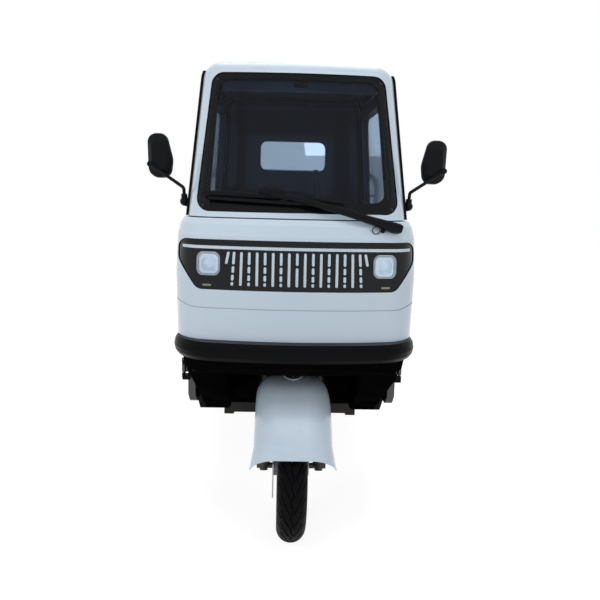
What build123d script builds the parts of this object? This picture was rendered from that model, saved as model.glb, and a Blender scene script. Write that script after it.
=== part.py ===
"""Electric cargo tricycle: a closed single-seat cab over one steered front wheel,
and a drop-side load bed on two rear wheels.

The solids are in millimetres. X runs across the vehicle, Y runs from the nose to the tail, Z is up.
The origin is on the ground under the middle of the vehicle, and the nose points along -Y.
Lengths along the vehicle are given as distances behind the front axle unless a name says otherwise.
"""

import math
import os

from build123d import *

# Overall layout
OVERALL_LENGTH = 2950
WHEELBASE = 1960
PIN_GAP = 0.3  # running gap of shafts and seat gap of covers
SHUT_GAP = 6  # gap round a door or board
FAR = 3000  # reach of cutting shapes, past every part of the vehicle

# Wheels on 12 inch rims
RIM_SEAT_R = 152.4
RIM_WALL = 5
RIM_FLANGE = 12
RIM_WELL = 20
RIM_HALF = 41
FRONT_TYRE_R = 254
FRONT_TYRE_HALF = 49.5
REAR_TYRE_R = 262
REAR_TYRE_HALF = 54
TYRE_WALL = 14
TYRE_CROWN_STEP = 18  # degrees between the rings of the round crown
AXLE_R = 10
HUB_R = 34
SPOKE_COUNT = 5
DISC_X = 63
DISC_R = 110
DISC_THICKNESS = 4
DISC_HOLE_COUNT = 10
CALIPER_X = -84  # outer face of the caliper, against its lug on the fork leg

# Fork and steering, measured along the steering axis from level with the axle
RAKE = math.radians(16)
FORK_OFFSET = 30  # axle ahead of the steering axis
LEG_X = 96
SLIDER_R = 21
STANCHION_R = 15
GAITER_R = 24
GAITER_RINGS = 5
SLIDER_TOP = 285
GAITER_TOP = 368
BRIDGE_LOW = 386
BRIDGE_HIGH = 416
HEAD_LOW = 424
HEAD_HIGH = 600
HEAD_R = 31
STEM_R = 18
STEM_TOP = 800
BAR_R = 11
GRIP_R = 16
BAR_HALF = 272

# Front mudguard, measured from the front axle
GUARD_R = 322
GUARD_HALF = 124
GUARD_SKIRT_R = 256
GUARD_SHOULDER_HEIGHT = 64
GUARD_SHOULDER_RUN = 95
GUARD_FLARE = 12
GUARD_NOTCH_R = 38
GUARD_WALL = 3
GUARD_FRONT = math.radians(26.5)  # lip above the horizontal
GUARD_REAR = math.radians(38)

FRONT_REACH = GUARD_R * math.cos(GUARD_FRONT)
FRONT_AXLE_Y = FRONT_REACH - OVERALL_LENGTH / 2
REAR_AXLE_Y = FRONT_AXLE_Y + WHEELBASE
TAIL_Y = OVERALL_LENGTH / 2

# Cab
CAB_HALF = 386
CAB_WALL = 26
PANEL_INSET = 3
PANEL_WALL = 6
CAB_BACK = 990
CAB_REAR_CORNER = 74
DOOR_FRONT = 150
DOOR_BACK = 880
DOOR_FOOT_Z = 430
DOOR_HEAD_Z = 1560
DOOR_WINDOW_FOOT_Z = 1140
DOOR_FRAME = 46
DOOR_HINGE_X = CAB_HALF + 6
DOOR_HINGES = (560, 1000)
BELT_Z = 1115
SEAM = 3
ROOF_Z = 1619
ROOF_EDGE_R = 60
ROOF_SEAM_Z = 1592
NOSE_BOW_R = 1500
FASCIA_FOOT_Z = 742
BUMPER_FOOT_Z = 684
FASCIA_BACK = 88  # rear edge of the white nose panel and of the bumper
VALANCE_FOOT_Z = 634
FLOOR_Z = 345
SHEET = 6
ARCH_HALF = 238
ARCH_TOP_Z = 765
ARCH_BACK = 400
ARCH_MOUTH_TOP = 216
ARCH_MOUTH_FOOT = 244
APRON_FRONT = -165
APRON_BACK = 330
APRON_WALL = 8
SIDE_PROUD = 8

# Windscreen
SCREEN_FOOT_Z = 1134
SCREEN_TOP_Z = 1579
SCREEN_FOOT_HALF = 322
SCREEN_TOP_HALF = 284
SCREEN_CORNER_R = 42
GLASS = 5

# Lamp panel
PANEL_TOP_Z = 1052
PANEL_FOOT_Z = 899
PANEL_HALF = 374
PANEL_CUT_X = 308
PANEL_CUT_Z = 988
PANEL_CORNER_R = 34
CREASE_DROP = 58  # crease line under the lamp panel
CREASE = 2.5
BAR_COUNT = 19
BAR_PITCH = 24.4
BAR_WIDTH = 8
BAR_LOW_Z = 914
BAR_HIGH_Z = 1016
LIGHT_BAR_Z = 1028
LIGHT_BAR_HEIGHT = 9
LAMP_X = 272
LAMP_Z = 978
LAMP_WIDTH = 74
LAMP_HEIGHT = 72
LAMP_DEPTH = 62

# Chassis
RAIL_X = 250
RAIL_WIDTH = 40
RAIL_HEIGHT = 60
RAIL_WALL = 4
RAIL_KICK_START = 1010
RAIL_KICK_RUN = 200
RAIL_FRONT = 430
NECK_R = 28
NECK_Y = 362

# Load bed
BED_FRONT = 1060
BED_HALF = 500
BED_FLOOR_Z = 650
BEARER_HEIGHT = 50
BEARER_WIDTH = 40
BED_SKIN = 3
BOARD_HEIGHT = 330
BOARD_THICKNESS = 28
BOARD_RIBS = 3
POST = 42
HINGE_R = 9
HINGE_PIN_R = 5
HINGE_COUNT = 3
BED_BACK_Y = TAIL_Y - SHUT_GAP - BOARD_THICKNESS - HINGE_R * 2
HOOP_HEIGHT = 300
HOOP_R = 14

# Rear running gear
REAR_TRACK_HALF = 410
AXLE_TUBE_R = 32
AXLE_TUBE_HALF = 340
SHAFT_R = 17
SPRING_HALF = 430
SPRING_DROP = 90
LEAF_THICKNESS = 7
LEAF_WIDTH = 50
LEAF_COUNT = 4
REAR_GUARD_R = 292
REAR_GUARD_HALF = 66


def behind(offset):
    """Y of a place given as a distance behind the front axle."""
    return FRONT_AXLE_Y + offset


def block(x0, x1, y0, y1, z0, z1):
    """Box between two corners."""
    return Pos((x0 + x1) / 2, (y0 + y1) / 2, (z0 + z1) / 2) * Box(abs(x1 - x0), abs(y1 - y0), abs(z1 - z0))


def outline(points, radius=0):
    """Closed flat outline, with rounded corners when a radius is given."""
    if radius:
        return make_face(FilletPolyline(*points, radius=radius, close=True))
    return make_face(Polyline(*points, close=True))


def side_prism(points, x0, x1, radius=0):
    """Side-view outline, as distances behind the front axle and heights, carried from x0 to x1."""
    plane = Plane(origin=(x0, FRONT_AXLE_Y, 0), x_dir=(0, 1, 0), z_dir=(1, 0, 0))
    return extrude(plane * outline(points, radius), amount=x1 - x0)


def front_prism(points, y0, y1, radius=0):
    """Front-view outline of (x, z) points carried from y0 back to y1, both behind the front axle."""
    plane = Plane(origin=(0, behind(y1), 0), x_dir=(1, 0, 0), z_dir=(0, -1, 0))
    return extrude(plane * outline(points, radius), amount=y1 - y0)


def around(a, b, half_a, half_b):
    """Corners of a rectangle round a middle."""
    low_a, high_a, low_b, high_b = a - half_a, a + half_a, b - half_b, b + half_b
    return [(low_a, low_b), (high_a, low_b), (high_a, high_b), (low_a, high_b)]


def rod(start, end, radius, bore=0):
    """Round bar or tube between two points."""
    start, end = Vector(*start), Vector(*end)
    along = end - start
    plane = Plane(origin=start, z_dir=along.normalized())
    ring = Circle(radius) - Circle(bore) if bore else Circle(radius)
    return extrude(plane * ring, amount=along.length)


def pipe(points, radius, bend, bore=0):
    """Round bar or tube along straight runs joined by bends."""
    path = FilletPolyline(*points, radius=bend)
    ring = Circle(radius) - Circle(bore) if bore else Circle(radius)
    return sweep(Plane(origin=path @ 0, z_dir=path % 0) * ring, path=path)


def mirrored(shape):
    """The same shape on the other side of the vehicle."""
    return mirror(shape, about=Plane.YZ)


def group(*shapes):
    """Separate solids kept together in one node."""
    return Compound(children=[solid for shape in shapes for solid in shape.solids()])


def both(shape):
    """A shape and its mirror image, as separate solids."""
    return group(shape, mirrored(shape))


def joined(shapes):
    """Fuses a list of shapes."""
    shapes = list(shapes)
    result = shapes[0]
    for shape in shapes[1:]:
        result = result + shape
    return result


def spin(points, centre, radius=0):
    """Turned solid about the X direction through a centre; points are (x, distance from the axis)."""
    plane = Plane(origin=centre, x_dir=(1, 0, 0), z_dir=(0, -1, 0))
    return revolve(plane * outline(points, radius), Axis(centre, (1, 0, 0)), 360)


# Cab skins. Each section: height, narrower than the cab by, nose behind the front axle, corner radius
BODY_SECTIONS = [
    (FLOOR_Z, 30, -192, 120),
    (FLOOR_Z + 65, 20, -192, 120),
    (FLOOR_Z + 115, 8, -192, 120),
    (VALANCE_FOOT_Z, 8, -192, 120),
    (930, 0, -186, 115),
    (1062, 5, -170, 110),
    (1098, 14, -158, 104),
    (BELT_Z, 24, -144, 98),
]
GLASSHOUSE_SECTIONS = [
    (BELT_Z + SEAM, 36, -128, 88),
    (ROOF_Z, 68, 84, 80),
]
VALANCE_SECTIONS = [
    (VALANCE_FOOT_Z, 26, -184, 118),
    (BUMPER_FOOT_Z, 17, -190, 120),
]
BUMPER_SECTIONS = [
    (BUMPER_FOOT_Z, 8, -228, 140),
    (BUMPER_FOOT_Z + 12, 0, -236, 144),
    (BUMPER_FOOT_Z + 29, -3, -240, 146),
    (FASCIA_FOOT_Z - 12, 0, -236, 144),
    (FASCIA_FOOT_Z - PIN_GAP, 8, -228, 140),
]


def plan_section(z, narrower, nose, corner, inset=0):
    """Plan outline of the cab at one height: bowed nose, round corners, straight sides."""
    half, nose, corner = CAB_HALF - narrower - inset, behind(nose + inset), corner - inset
    bow = NOSE_BOW_R - inset
    back, rear_corner = behind(CAB_BACK) - inset, max(CAB_REAR_CORNER - inset, 8)
    corner_x = half - corner
    corner_y = nose + bow - math.sqrt((bow - corner) ** 2 - corner_x**2)
    reach = bow / (bow - corner)
    tangent_x = corner_x * reach
    tangent_y = nose + bow + (corner_y - nose - bow) * reach
    turn = math.atan2(nose + bow - corner_y, corner_x) / 2
    middle = (corner_x + corner * math.cos(turn), corner_y - corner * math.sin(turn))
    rear = rear_corner * (1 - math.sqrt(0.5))
    edges = [
        Line((-half, back - rear_corner), (-half, corner_y)),
        ThreePointArc((-half, corner_y), (-middle[0], middle[1]), (-tangent_x, tangent_y)),
        ThreePointArc((-tangent_x, tangent_y), (0, nose), (tangent_x, tangent_y)),
        ThreePointArc((tangent_x, tangent_y), middle, (half, corner_y)),
        Line((half, corner_y), (half, back - rear_corner)),
        ThreePointArc((half, back - rear_corner), (half - rear, back - rear), (half - rear_corner, back)),
        Line((half - rear_corner, back), (rear_corner - half, back)),
        ThreePointArc((rear_corner - half, back), (rear - half, back - rear), (-half, back - rear_corner)),
    ]
    return Plane(origin=(0, 0, z)) * make_face(edges)


def skin(sections, inset):
    """Closed body whose outside lies an inset inside the cab's outside."""
    return loft([plan_section(*section, inset) for section in sections], ruled=True)


def glasshouse(inset):
    """Upper cab body, with its rounded roof edge."""
    (low_z, *low), (high_z, *high) = GLASSHOUSE_SECTIONS
    high_z -= inset
    body = skin([(low_z, *low), (high_z, *high)], inset)
    top = body.edges().filter_by_position(Axis.Z, high_z - 1, high_z + 1)
    return fillet(top, ROOF_EDGE_R - inset)


LOWER_SHELL = skin(BODY_SECTIONS, 0) - skin(BODY_SECTIONS, CAB_WALL)
UPPER_SHELL = glasshouse(0) - glasshouse(CAB_WALL)

# Rear edge of the white windscreen pillar, where the black door surround starts
PILLAR_FOOT = -36
PILLAR_HEAD = PILLAR_FOOT + 186


def pillar(z, offset=0):
    """Distance behind the front axle of the windscreen pillar's rear edge at a height."""
    share = (z - BELT_Z) / (ROOF_SEAM_Z - BELT_Z)
    return PILLAR_FOOT + max(share, 0) * (PILLAR_HEAD - PILLAR_FOOT) + offset


def side_outline(y_front, y_back, z_low, z_high):
    """Side-view outline whose front edge leans with the windscreen pillar above the belt."""
    offset = y_front - PILLAR_FOOT
    head = pillar(z_high, offset)
    return [(y_front, z_low), (y_front, BELT_Z), (head, z_high), (y_back, z_high), (y_back, z_low)]


def side_slab(y0, y1, proud=0, wall=CAB_WALL, inset=0):
    """Right-hand side wall of the cab over its whole height, straight from y0 to y1."""
    lower = [(CAB_HALF - narrower, z) for z, narrower, *_ in BODY_SECTIONS]
    low, high = GLASSHOUSE_SECTIONS
    slope = (high[1] - low[1]) / (high[0] - low[0])
    top = CAB_HALF - low[1] - slope * (ROOF_SEAM_Z - low[0])
    upper = [(CAB_HALF - low[1] + proud, low[0]), (top + proud, ROOF_SEAM_Z)]
    outer = [(x - inset, z) for x, z in [*lower, *upper]]
    inner = [(x - wall, z) for x, z in reversed([*lower, (CAB_HALF - low[1], low[0]), (top, ROOF_SEAM_Z)])]
    return front_prism([*outer, *inner], y0, y1)


def screen_outline(grow=0):
    """Windscreen outline in front view."""
    return [
        (-SCREEN_FOOT_HALF - grow, SCREEN_FOOT_Z - grow),
        (SCREEN_FOOT_HALF + grow, SCREEN_FOOT_Z - grow),
        (SCREEN_TOP_HALF + grow, SCREEN_TOP_Z + grow),
        (-SCREEN_TOP_HALF - grow, SCREEN_TOP_Z + grow),
    ]


def screen_prism(grow=0):
    """Cutter of the windscreen opening."""
    return front_prism(screen_outline(grow), -FAR, PILLAR_HEAD - 20, SCREEN_CORNER_R + grow)


def windscreen_surround():
    """White moulding round the windscreen, down to the seam on the fascia."""
    foot, top = BELT_Z + SEAM, ROOF_SEAM_Z - PIN_GAP
    front = side_prism([(-FAR, foot), (PILLAR_FOOT, foot), (PILLAR_HEAD, top), (-FAR, top)], -FAR, FAR)
    return (UPPER_SHELL & front) - screen_prism()


def windscreen():
    """Curved glass set in the surround."""
    return (glasshouse(PANEL_INSET) - glasshouse(PANEL_INSET + GLASS)) & screen_prism(-PIN_GAP)


def roof():
    """Roof panel with rolled edges."""
    return UPPER_SHELL & block(-FAR, FAR, -FAR, FAR, ROOF_SEAM_Z, ROOF_Z + 1)


def rear_wall():
    """Back wall of the cab with its corner panels and window opening."""
    corner = block(-FAR, FAR, behind(DOOR_BACK + 28), FAR, FLOOR_Z, ROOF_SEAM_Z - PIN_GAP)
    wall = (LOWER_SHELL & corner) + (UPPER_SHELL & corner)
    belt = CAB_HALF - GLASSHOUSE_SECTIONS[0][1]
    wall += block(-belt, belt, behind(CAB_BACK - CAB_WALL), behind(CAB_BACK), BELT_Z - 1, BELT_Z + SEAM + 1)
    return wall - front_prism(rear_window_outline(), CAB_BACK - 90, CAB_BACK + 40, 30)


def rear_window_outline(grow=0):
    """Back window outline."""
    half, low, high = 150 + grow, 1287 - grow, 1418 + grow
    return [(-half, low), (half, low), (half, high), (-half, high)]


def rear_window():
    """Back window glass in the middle of the wall."""
    middle = CAB_BACK - CAB_WALL / 2
    return front_prism(rear_window_outline(-PIN_GAP), middle - GLASS / 2, middle + GLASS / 2, 30 - PIN_GAP)


def door_outline(inset=0):
    """Door outline in side view."""
    return side_outline(DOOR_FRONT + inset, DOOR_BACK - inset, DOOR_FOOT_Z + inset, DOOR_HEAD_Z - inset)


def door_window_outline(inset=0):
    """Window outline in the door's upper frame."""
    low, high = DOOR_WINDOW_FOOT_Z + inset, DOOR_HEAD_Z - DOOR_FRAME - inset
    offset = DOOR_FRONT + DOOR_FRAME + inset - PILLAR_FOOT
    back = DOOR_BACK - DOOR_FRAME - inset
    return [(pillar(low, offset), low), (pillar(high, offset), high), (back, high), (back, low)]


def door_knuckle(z, height, toward):
    """Hinge knuckle on the door's pin line with a leaf reaching toward the door (1) or its surround (-1)."""
    y = DOOR_FRONT - SHUT_GAP / 2
    low, high = z - height / 2, z + height / 2
    leaf = block(DOOR_HINGE_X - 26, DOOR_HINGE_X + 2, behind(y), behind(y + toward * 30), low, high)
    return rod((DOOR_HINGE_X, behind(y), low), (DOOR_HINGE_X, behind(y), high), HINGE_R - 1) + leaf


def door_hinge_room():
    """Space the hinges take out of the door's and surround's edges."""
    y = behind(DOOR_FRONT - SHUT_GAP / 2)
    x = DOOR_HINGE_X
    return joined([rod((x, y, z - 44), (x, y, z + 44), HINGE_R + 5) for z in DOOR_HINGES])


def door():
    """Left door: a flush lower panel, a window frame and two hinge knuckles."""
    slab = side_slab(0, CAB_BACK, SIDE_PROUD) & side_prism(door_outline(), 0, FAR, 18)
    slab -= door_hinge_room()
    y = behind(DOOR_FRONT - SHUT_GAP / 2)
    for z in DOOR_HINGES:
        pin = rod((DOOR_HINGE_X, y, z - 30), (DOOR_HINGE_X, y, z + 30), HINGE_PIN_R - 1 + PIN_GAP)
        slab += door_knuckle(z, 30, 1) - pin
    slab -= side_prism(door_window_outline(), 0, FAR, 32)
    grip_y, grip_z = DOOR_BACK - 90, 1030
    slab -= side_prism(around(grip_y, grip_z, 60, 26), CAB_HALF - 14, FAR, 16)
    slab += side_prism(around(grip_y, grip_z, 62, 9), CAB_HALF - 6, CAB_HALF + 3, 4)
    return slab


def door_glass():
    """Left door window glass in the middle of its frame."""
    return side_slab(0, CAB_BACK, SIDE_PROUD, GLASS - SIDE_PROUD + 12, 12) & side_prism(
        door_window_outline(PIN_GAP), 0, FAR, 32 - PIN_GAP
    )


def side_frame():
    """Left door surround with the sill and the black wall ahead of the door."""
    gap = SHUT_GAP
    back, sill, top = DOOR_BACK + 28 - SEAM, BELT_Z + SEAM, ROOF_SEAM_Z - PIN_GAP
    lower = side_prism(
        [
            (FASCIA_BACK, sill),
            (back, sill),
            (back, FLOOR_Z),
            (APRON_BACK, FLOOR_Z),
            (300, 404),
            (10, 668),
            (10, BUMPER_FOOT_Z - PIN_GAP),
            (FASCIA_BACK, BUMPER_FOOT_Z - PIN_GAP),
        ],
        0,
        FAR,
    )
    upper = side_prism([(PILLAR_FOOT, sill), (PILLAR_HEAD, top), (back, top), (back, sill)], 0, FAR)
    slab = side_slab(0, CAB_BACK, SIDE_PROUD) & lower
    slab += (glasshouse(-SIDE_PROUD) - glasshouse(CAB_WALL)) & upper
    slab = slab - side_prism(door_outline(-gap), 0, FAR, 18 + gap) - door_hinge_room()
    y = behind(DOOR_FRONT - gap / 2)
    for z in DOOR_HINGES:
        slab += door_knuckle(z - 28, 16, -1) + door_knuckle(z + 28, 16, -1)
        slab += rod((DOOR_HINGE_X, y, z - 30), (DOOR_HINGE_X, y, z + 30), HINGE_PIN_R - 1)
    return slab


def front_fascia():
    """White nose panel with the opening for the lamp panel."""
    band = block(-FAR, FAR, -FAR, behind(FASCIA_BACK - SEAM), FASCIA_FOOT_Z, BELT_Z)
    crease = crease_outline(CREASE_DROP) - crease_outline(CREASE_DROP - CREASE)
    crease &= block(-FAR, FAR, -FAR, FAR, FASCIA_FOOT_Z, PANEL_CUT_Z - 96)
    groove = panel_skin(-1, 1 + CREASE) & crease
    return (LOWER_SHELL & band) - front_prism(panel_outline(), -FAR, -60, PANEL_CORNER_R) - groove


def crease_outline(drop):
    """Cutter that follows the lamp panel's lower edge at a distance below it."""
    foot, half, bend = PANEL_FOOT_Z - drop, CAB_HALF + 10, PANEL_CUT_X + 12
    side = foot + 20
    points = [(-half, 1200), (half, 1200), (half, side), (bend, foot), (-bend, foot), (-half, side)]
    return front_prism(points, -FAR, -20, [10, 10, 20, 60, 60, 20])


def panel_outline(grow=0):
    """Lamp panel outline in front view, with its lower corners cut away."""
    half, cut = PANEL_HALF + grow, PANEL_CUT_X + grow / 2
    top, foot, cut_z = PANEL_TOP_Z + grow, PANEL_FOOT_Z - grow, PANEL_CUT_Z - grow / 2
    return [(-half, top), (half, top), (half, cut_z), (cut, foot), (-cut, foot), (-half, cut_z)]


def lamp_outline(grow=0):
    """Headlamp outline in front view, on the left side."""
    width, height = LAMP_WIDTH / 2 + grow, LAMP_HEIGHT / 2 + grow
    return [
        (LAMP_X - width, LAMP_Z - height),
        (LAMP_X + width, LAMP_Z - height),
        (LAMP_X + width, LAMP_Z + height),
        (LAMP_X - width, LAMP_Z + height),
    ]


def panel_skin(inset, wall):
    """Thin curved sheet that follows the nose."""
    return skin(BODY_SECTIONS, inset) - skin(BODY_SECTIONS, inset + wall)


# Light bars of the grille from its middle outwards: lit runs as shares of the height,
# and lean towards the middle
SPLIT = ((0.0, 0.56), (0.64, 1.0))
WHOLE = ((0.0, 1.0),)
BROKEN = ((0.0, 0.1), (0.15, 0.32), (0.38, 0.57), (0.63, 1.0))
SHORT = ((0.64, 1.0),)
GRILLE_BARS = [
    (SPLIT, 0),
    (WHOLE, 0),
    (BROKEN, 0),
    (WHOLE, 0),
    (BROKEN, 0),
    (WHOLE, 0),
    (BROKEN, 0.01),
    (WHOLE, 0.02),
    (BROKEN, 0.06),
    (SHORT, 0.2),
]


def light_bars():
    """Upright light bars with round ends standing on the lamp panel, and the long strip above them."""
    height, half = BAR_HIGH_Z - BAR_LOW_Z, BAR_WIDTH / 2
    runs = []
    for place, (bar, lean) in enumerate(GRILLE_BARS):
        for side in (-1, 1) if place else (1,):
            for low, high in bar:
                low_x = side * (place * BAR_PITCH - (low - 0.5) * height * lean)
                high_x = side * (place * BAR_PITCH - (high - 0.5) * height * lean)
                low_z, high_z = BAR_LOW_Z + low * height, BAR_LOW_Z + high * height
                points = [
                    (low_x - half, low_z),
                    (low_x + half, low_z),
                    (high_x + half, high_z),
                    (high_x - half, high_z),
                ]
                runs.append(front_prism(points, -FAR, 0, half - 0.6))
    low, high = LIGHT_BAR_Z - LIGHT_BAR_HEIGHT / 2, LIGHT_BAR_Z + LIGHT_BAR_HEIGHT / 2
    reach = PANEL_HALF - 18
    runs.append(block(-reach, reach, behind(-FAR), behind(-70), low, high))
    return panel_skin(0, PANEL_INSET - PIN_GAP) & Compound(children=runs)


def grille_panel():
    """Black glossy lamp panel across the nose, with two lamp openings."""
    cutter = front_prism(panel_outline(-PIN_GAP), -FAR, -60, PANEL_CORNER_R)
    sheet = panel_skin(PANEL_INSET, PANEL_WALL) & cutter
    hole = front_prism(lamp_outline(), -FAR, 0, 20)
    return sheet - hole - mirrored(hole)


def headlamps():
    """Lamp housings with bright bowls."""
    room = front_prism(lamp_outline(-PIN_GAP), -FAR, -165 + LAMP_DEPTH, 20)
    body = skin(BODY_SECTIONS, PANEL_INSET + 2) & room
    plane = Plane(origin=(LAMP_X, behind(-190), LAMP_Z), x_dir=(1, 0, 0), z_dir=(0, 1, 0))
    mouth = RectangleRounded(LAMP_WIDTH - 8, LAMP_HEIGHT - 8, 16)
    bowl = loft([plane * mouth, plane.offset(70) * Circle(16)])
    bulb = rod((LAMP_X, behind(-136), LAMP_Z), (LAMP_X, behind(-108), LAMP_Z), 9)
    return both(body - bowl + bulb)


def headlamp_lenses():
    """Clear covers over the lamps."""
    return both(panel_skin(0, PANEL_INSET + 1) & front_prism(lamp_outline(-PIN_GAP), -FAR, 0, 20))


def bumper():
    """Black rounded moulding round the nose."""
    ring = skin(BUMPER_SECTIONS, 0) - block(-FAR, FAR, behind(FASCIA_BACK - SEAM), FAR, 0, FAR)
    return ring - skin([(z, narrower, nose, corner) for z, narrower, nose, corner in BODY_SECTIONS], 20)


def front_apron():
    """Black valance and the two sloping chin panels beside the wheel arch."""
    band = block(-FAR, FAR, -FAR, behind(10 - SEAM), VALANCE_FOOT_Z, BUMPER_FOOT_Z - PIN_GAP)
    valance = (skin(VALANCE_SECTIONS, 0) - skin(VALANCE_SECTIONS, CAB_WALL)) & band
    half = CAB_HALF - CAB_WALL - BODY_SECTIONS[0][1]
    rise = VALANCE_FOOT_Z - FLOOR_Z
    run = APRON_BACK - APRON_FRONT
    up, back = APRON_WALL * run / math.hypot(rise, run), APRON_WALL * rise / math.hypot(rise, run)
    chin = side_prism(
        [
            (APRON_FRONT - 40, VALANCE_FOOT_Z + 40 * rise / run),
            (APRON_BACK, FLOOR_Z),
            (APRON_BACK + back, FLOOR_Z + up),
            (APRON_FRONT - 40 + back, VALANCE_FOOT_Z + 40 * rise / run + up),
        ],
        -half,
        half,
    )
    chin &= skin(BODY_SECTIONS, 0)
    mouth = front_prism(
        [
            (-ARCH_MOUTH_FOOT, FLOOR_Z - 30),
            (ARCH_MOUTH_FOOT, FLOOR_Z - 30),
            (ARCH_MOUTH_TOP, VALANCE_FOOT_Z),
            (-ARCH_MOUTH_TOP, VALANCE_FOOT_Z),
        ],
        -FAR,
        FAR,
    )
    return valance + (chin - mouth)


def cab_tub():
    """Floor pan, sloping toe boards and the box over the front wheel, open below."""
    half = CAB_HALF - BODY_SECTIONS[0][1] - CAB_WALL - PIN_GAP
    inner = CAB_BACK - CAB_WALL - PIN_GAP
    run = APRON_BACK - APRON_FRONT
    lift = APRON_WALL * math.hypot(VALANCE_FOOT_Z - FLOOR_Z, run) / run
    slope = (VALANCE_FOOT_Z - FLOOR_Z) / (APRON_BACK - APRON_FRONT)

    def toe(y, extra):
        return FLOOR_Z + (APRON_BACK - y) * slope + lift + extra

    heel = APRON_BACK + (lift + 1) / slope
    floor = block(-half, half, behind(heel), behind(inner), FLOOR_Z, FLOOR_Z + SHEET)
    toe_front = -120
    boards = side_prism(
        [
            (heel, FLOOR_Z),
            (heel + 14, FLOOR_Z + SHEET),
            (toe_front, toe(toe_front, 1 + SHEET)),
            (toe_front, toe(toe_front, 1)),
        ],
        -half,
        half,
    )
    arch = side_prism(
        [
            (toe_front, toe(toe_front, 1)),
            (toe_front, ARCH_TOP_Z + SHEET),
            (ARCH_BACK + SHEET, ARCH_TOP_Z + SHEET),
            (ARCH_BACK + SHEET, FLOOR_Z),
            (heel, FLOOR_Z),
        ],
        -ARCH_HALF - SHEET,
        ARCH_HALF + SHEET,
    )
    hollow = block(-ARCH_HALF, ARCH_HALF, -FAR, behind(ARCH_BACK), 0, ARCH_TOP_Z)
    tub = ((floor + boards + arch) & skin(BODY_SECTIONS, CAB_WALL + PIN_GAP)) - hollow
    return tub - rod(axis_point(HEAD_LOW), axis_point(HEAD_HIGH + 60), HEAD_R + 8)


def axis_point(along, back=0, x=0):
    """Place given along and square to the leaning steering axis."""
    return (
        x,
        FRONT_AXLE_Y + (FORK_OFFSET + back) * math.cos(RAKE) + along * math.sin(RAKE),
        FRONT_TYRE_R - (FORK_OFFSET + back) * math.sin(RAKE) + along * math.cos(RAKE),
    )


def leg_rod(low, high, radius):
    """Round bar on a fork leg between two places along the steering axis."""
    return rod(axis_point(low, -FORK_OFFSET, LEG_X), axis_point(high, -FORK_OFFSET, LEG_X), radius)


def dashboard():
    """Instrument shelf behind the nose panel, with its hood."""
    shelf = [(-300, 1112), (20, 1112), (60, 1080), (50, 960), (32, 960), (38, 1072), (4, 1092), (-300, 1092)]
    hood = side_prism([(20, 1104), (52, 1166), (112, 1150), (106, 1096), (50, 1080)], -112, 112, 8)
    return (skin(BODY_SECTIONS, CAB_WALL + PIN_GAP) & side_prism(shelf, -FAR, FAR)) + hood


def seat_base():
    """Sheet box under the seat, open below over the battery."""
    outer = block(-250, 250, behind(590), behind(955), FLOOR_Z + SHEET + PIN_GAP, 640)
    return outer - block(-247, 247, behind(593), behind(952), 0, 637)


def seat_cushion():
    """Seat cushion."""
    top = 640 + PIN_GAP
    points = [(575, top), (575, top + 62), (600, top + 80), (880, top + 66), (880, top)]
    return side_prism(points, -240, 240, 10)


def seat_back():
    """Leaning seat back."""
    rest = CAB_BACK - CAB_WALL - PIN_GAP
    return side_prism([(884, 668), (950, 668), (rest, 1088), (924, 1100), (905, 1080)], -225, 225, 10)


def battery_box():
    """Battery pack as one plain block under the seat."""
    return block(-225, 225, behind(610), behind(940), FLOOR_Z + SHEET + PIN_GAP, 610)


# Mirror head outline seen from the front, round its centre: out from the cab, up
MIRROR_OUTLINE = ((41, 71), (-20, 71), (-41, -12), (-34, -71), (38, -71))
MIRROR_CENTRE = (444, 26, 1304)
MIRROR_CORNERS = (28, 28, 60, 30, 34)


def mirror_face(scale, depth):
    """Mirror head outline at a depth ahead of the glass."""
    x, y, z = MIRROR_CENTRE
    plane = Plane(origin=(x, behind(y - depth), z), x_dir=(1, 0, 0), z_dir=(0, -1, 0))
    points = [(across * scale, up * scale) for across, up in MIRROR_OUTLINE]
    return plane * make_face(FilletPolyline(*points, radius=[r * scale for r in MIRROR_CORNERS], close=True))


def mirror_set():
    """Left mirror: ball socket on the door surround, bent arm, rounded head and its glass."""
    x, y, z = MIRROR_CENTRE
    foot = rod((330, behind(8), 1148), (366, behind(8), 1156), 11) + Pos(366, behind(8), 1160) * Sphere(15)
    foot -= glasshouse(-SIDE_PROUD - PIN_GAP)
    cup = rod((366, behind(8), 1160), (367, behind(6), 1184), 10)
    arm = pipe([(366, behind(7), 1168), (368, behind(4), 1204), (x + 28, behind(y - 40), z - 28)], 5.5, 12)
    boss = rod((x + 28, behind(y - 44), z - 28), (x + 28, behind(y - 14), z - 28), 9)
    shell = loft([mirror_face(1, 0), mirror_face(0.97, 16)], ruled=True)
    shell += loft([mirror_face(0.97, 16), mirror_face(0.62, 31)], ruled=True)
    shell -= extrude(mirror_face(0.93, 0), amount=3)
    glass = extrude(mirror_face(0.92, 0), amount=3 - PIN_GAP)
    return group(foot + cup + arm + boss + shell, glass)


def wiper():
    """Windscreen wiper parked across the foot of the glass."""
    path = ThreePointArc((144, behind(-114), 1158), (-68, behind(-117), 1167), (-281, behind(-89), 1176))
    blade = sweep(Plane(origin=path @ 0, z_dir=path % 0) * Rectangle(7, 9), path=path)
    arm = joined(
        [
            rod((306, behind(-100), 1093), (306, behind(-150), 1100), 13) - skin(BODY_SECTIONS, -PIN_GAP),
            rod((306, behind(-144), 1099), (150, behind(-136), 1150), 5),
            rod((150, behind(-136), 1150), (-28, behind(-130), 1180), 4),
            rod((-28, behind(-130), 1180), (-66, behind(-118), 1168), 4),
        ]
    )
    return arm + blade


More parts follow.
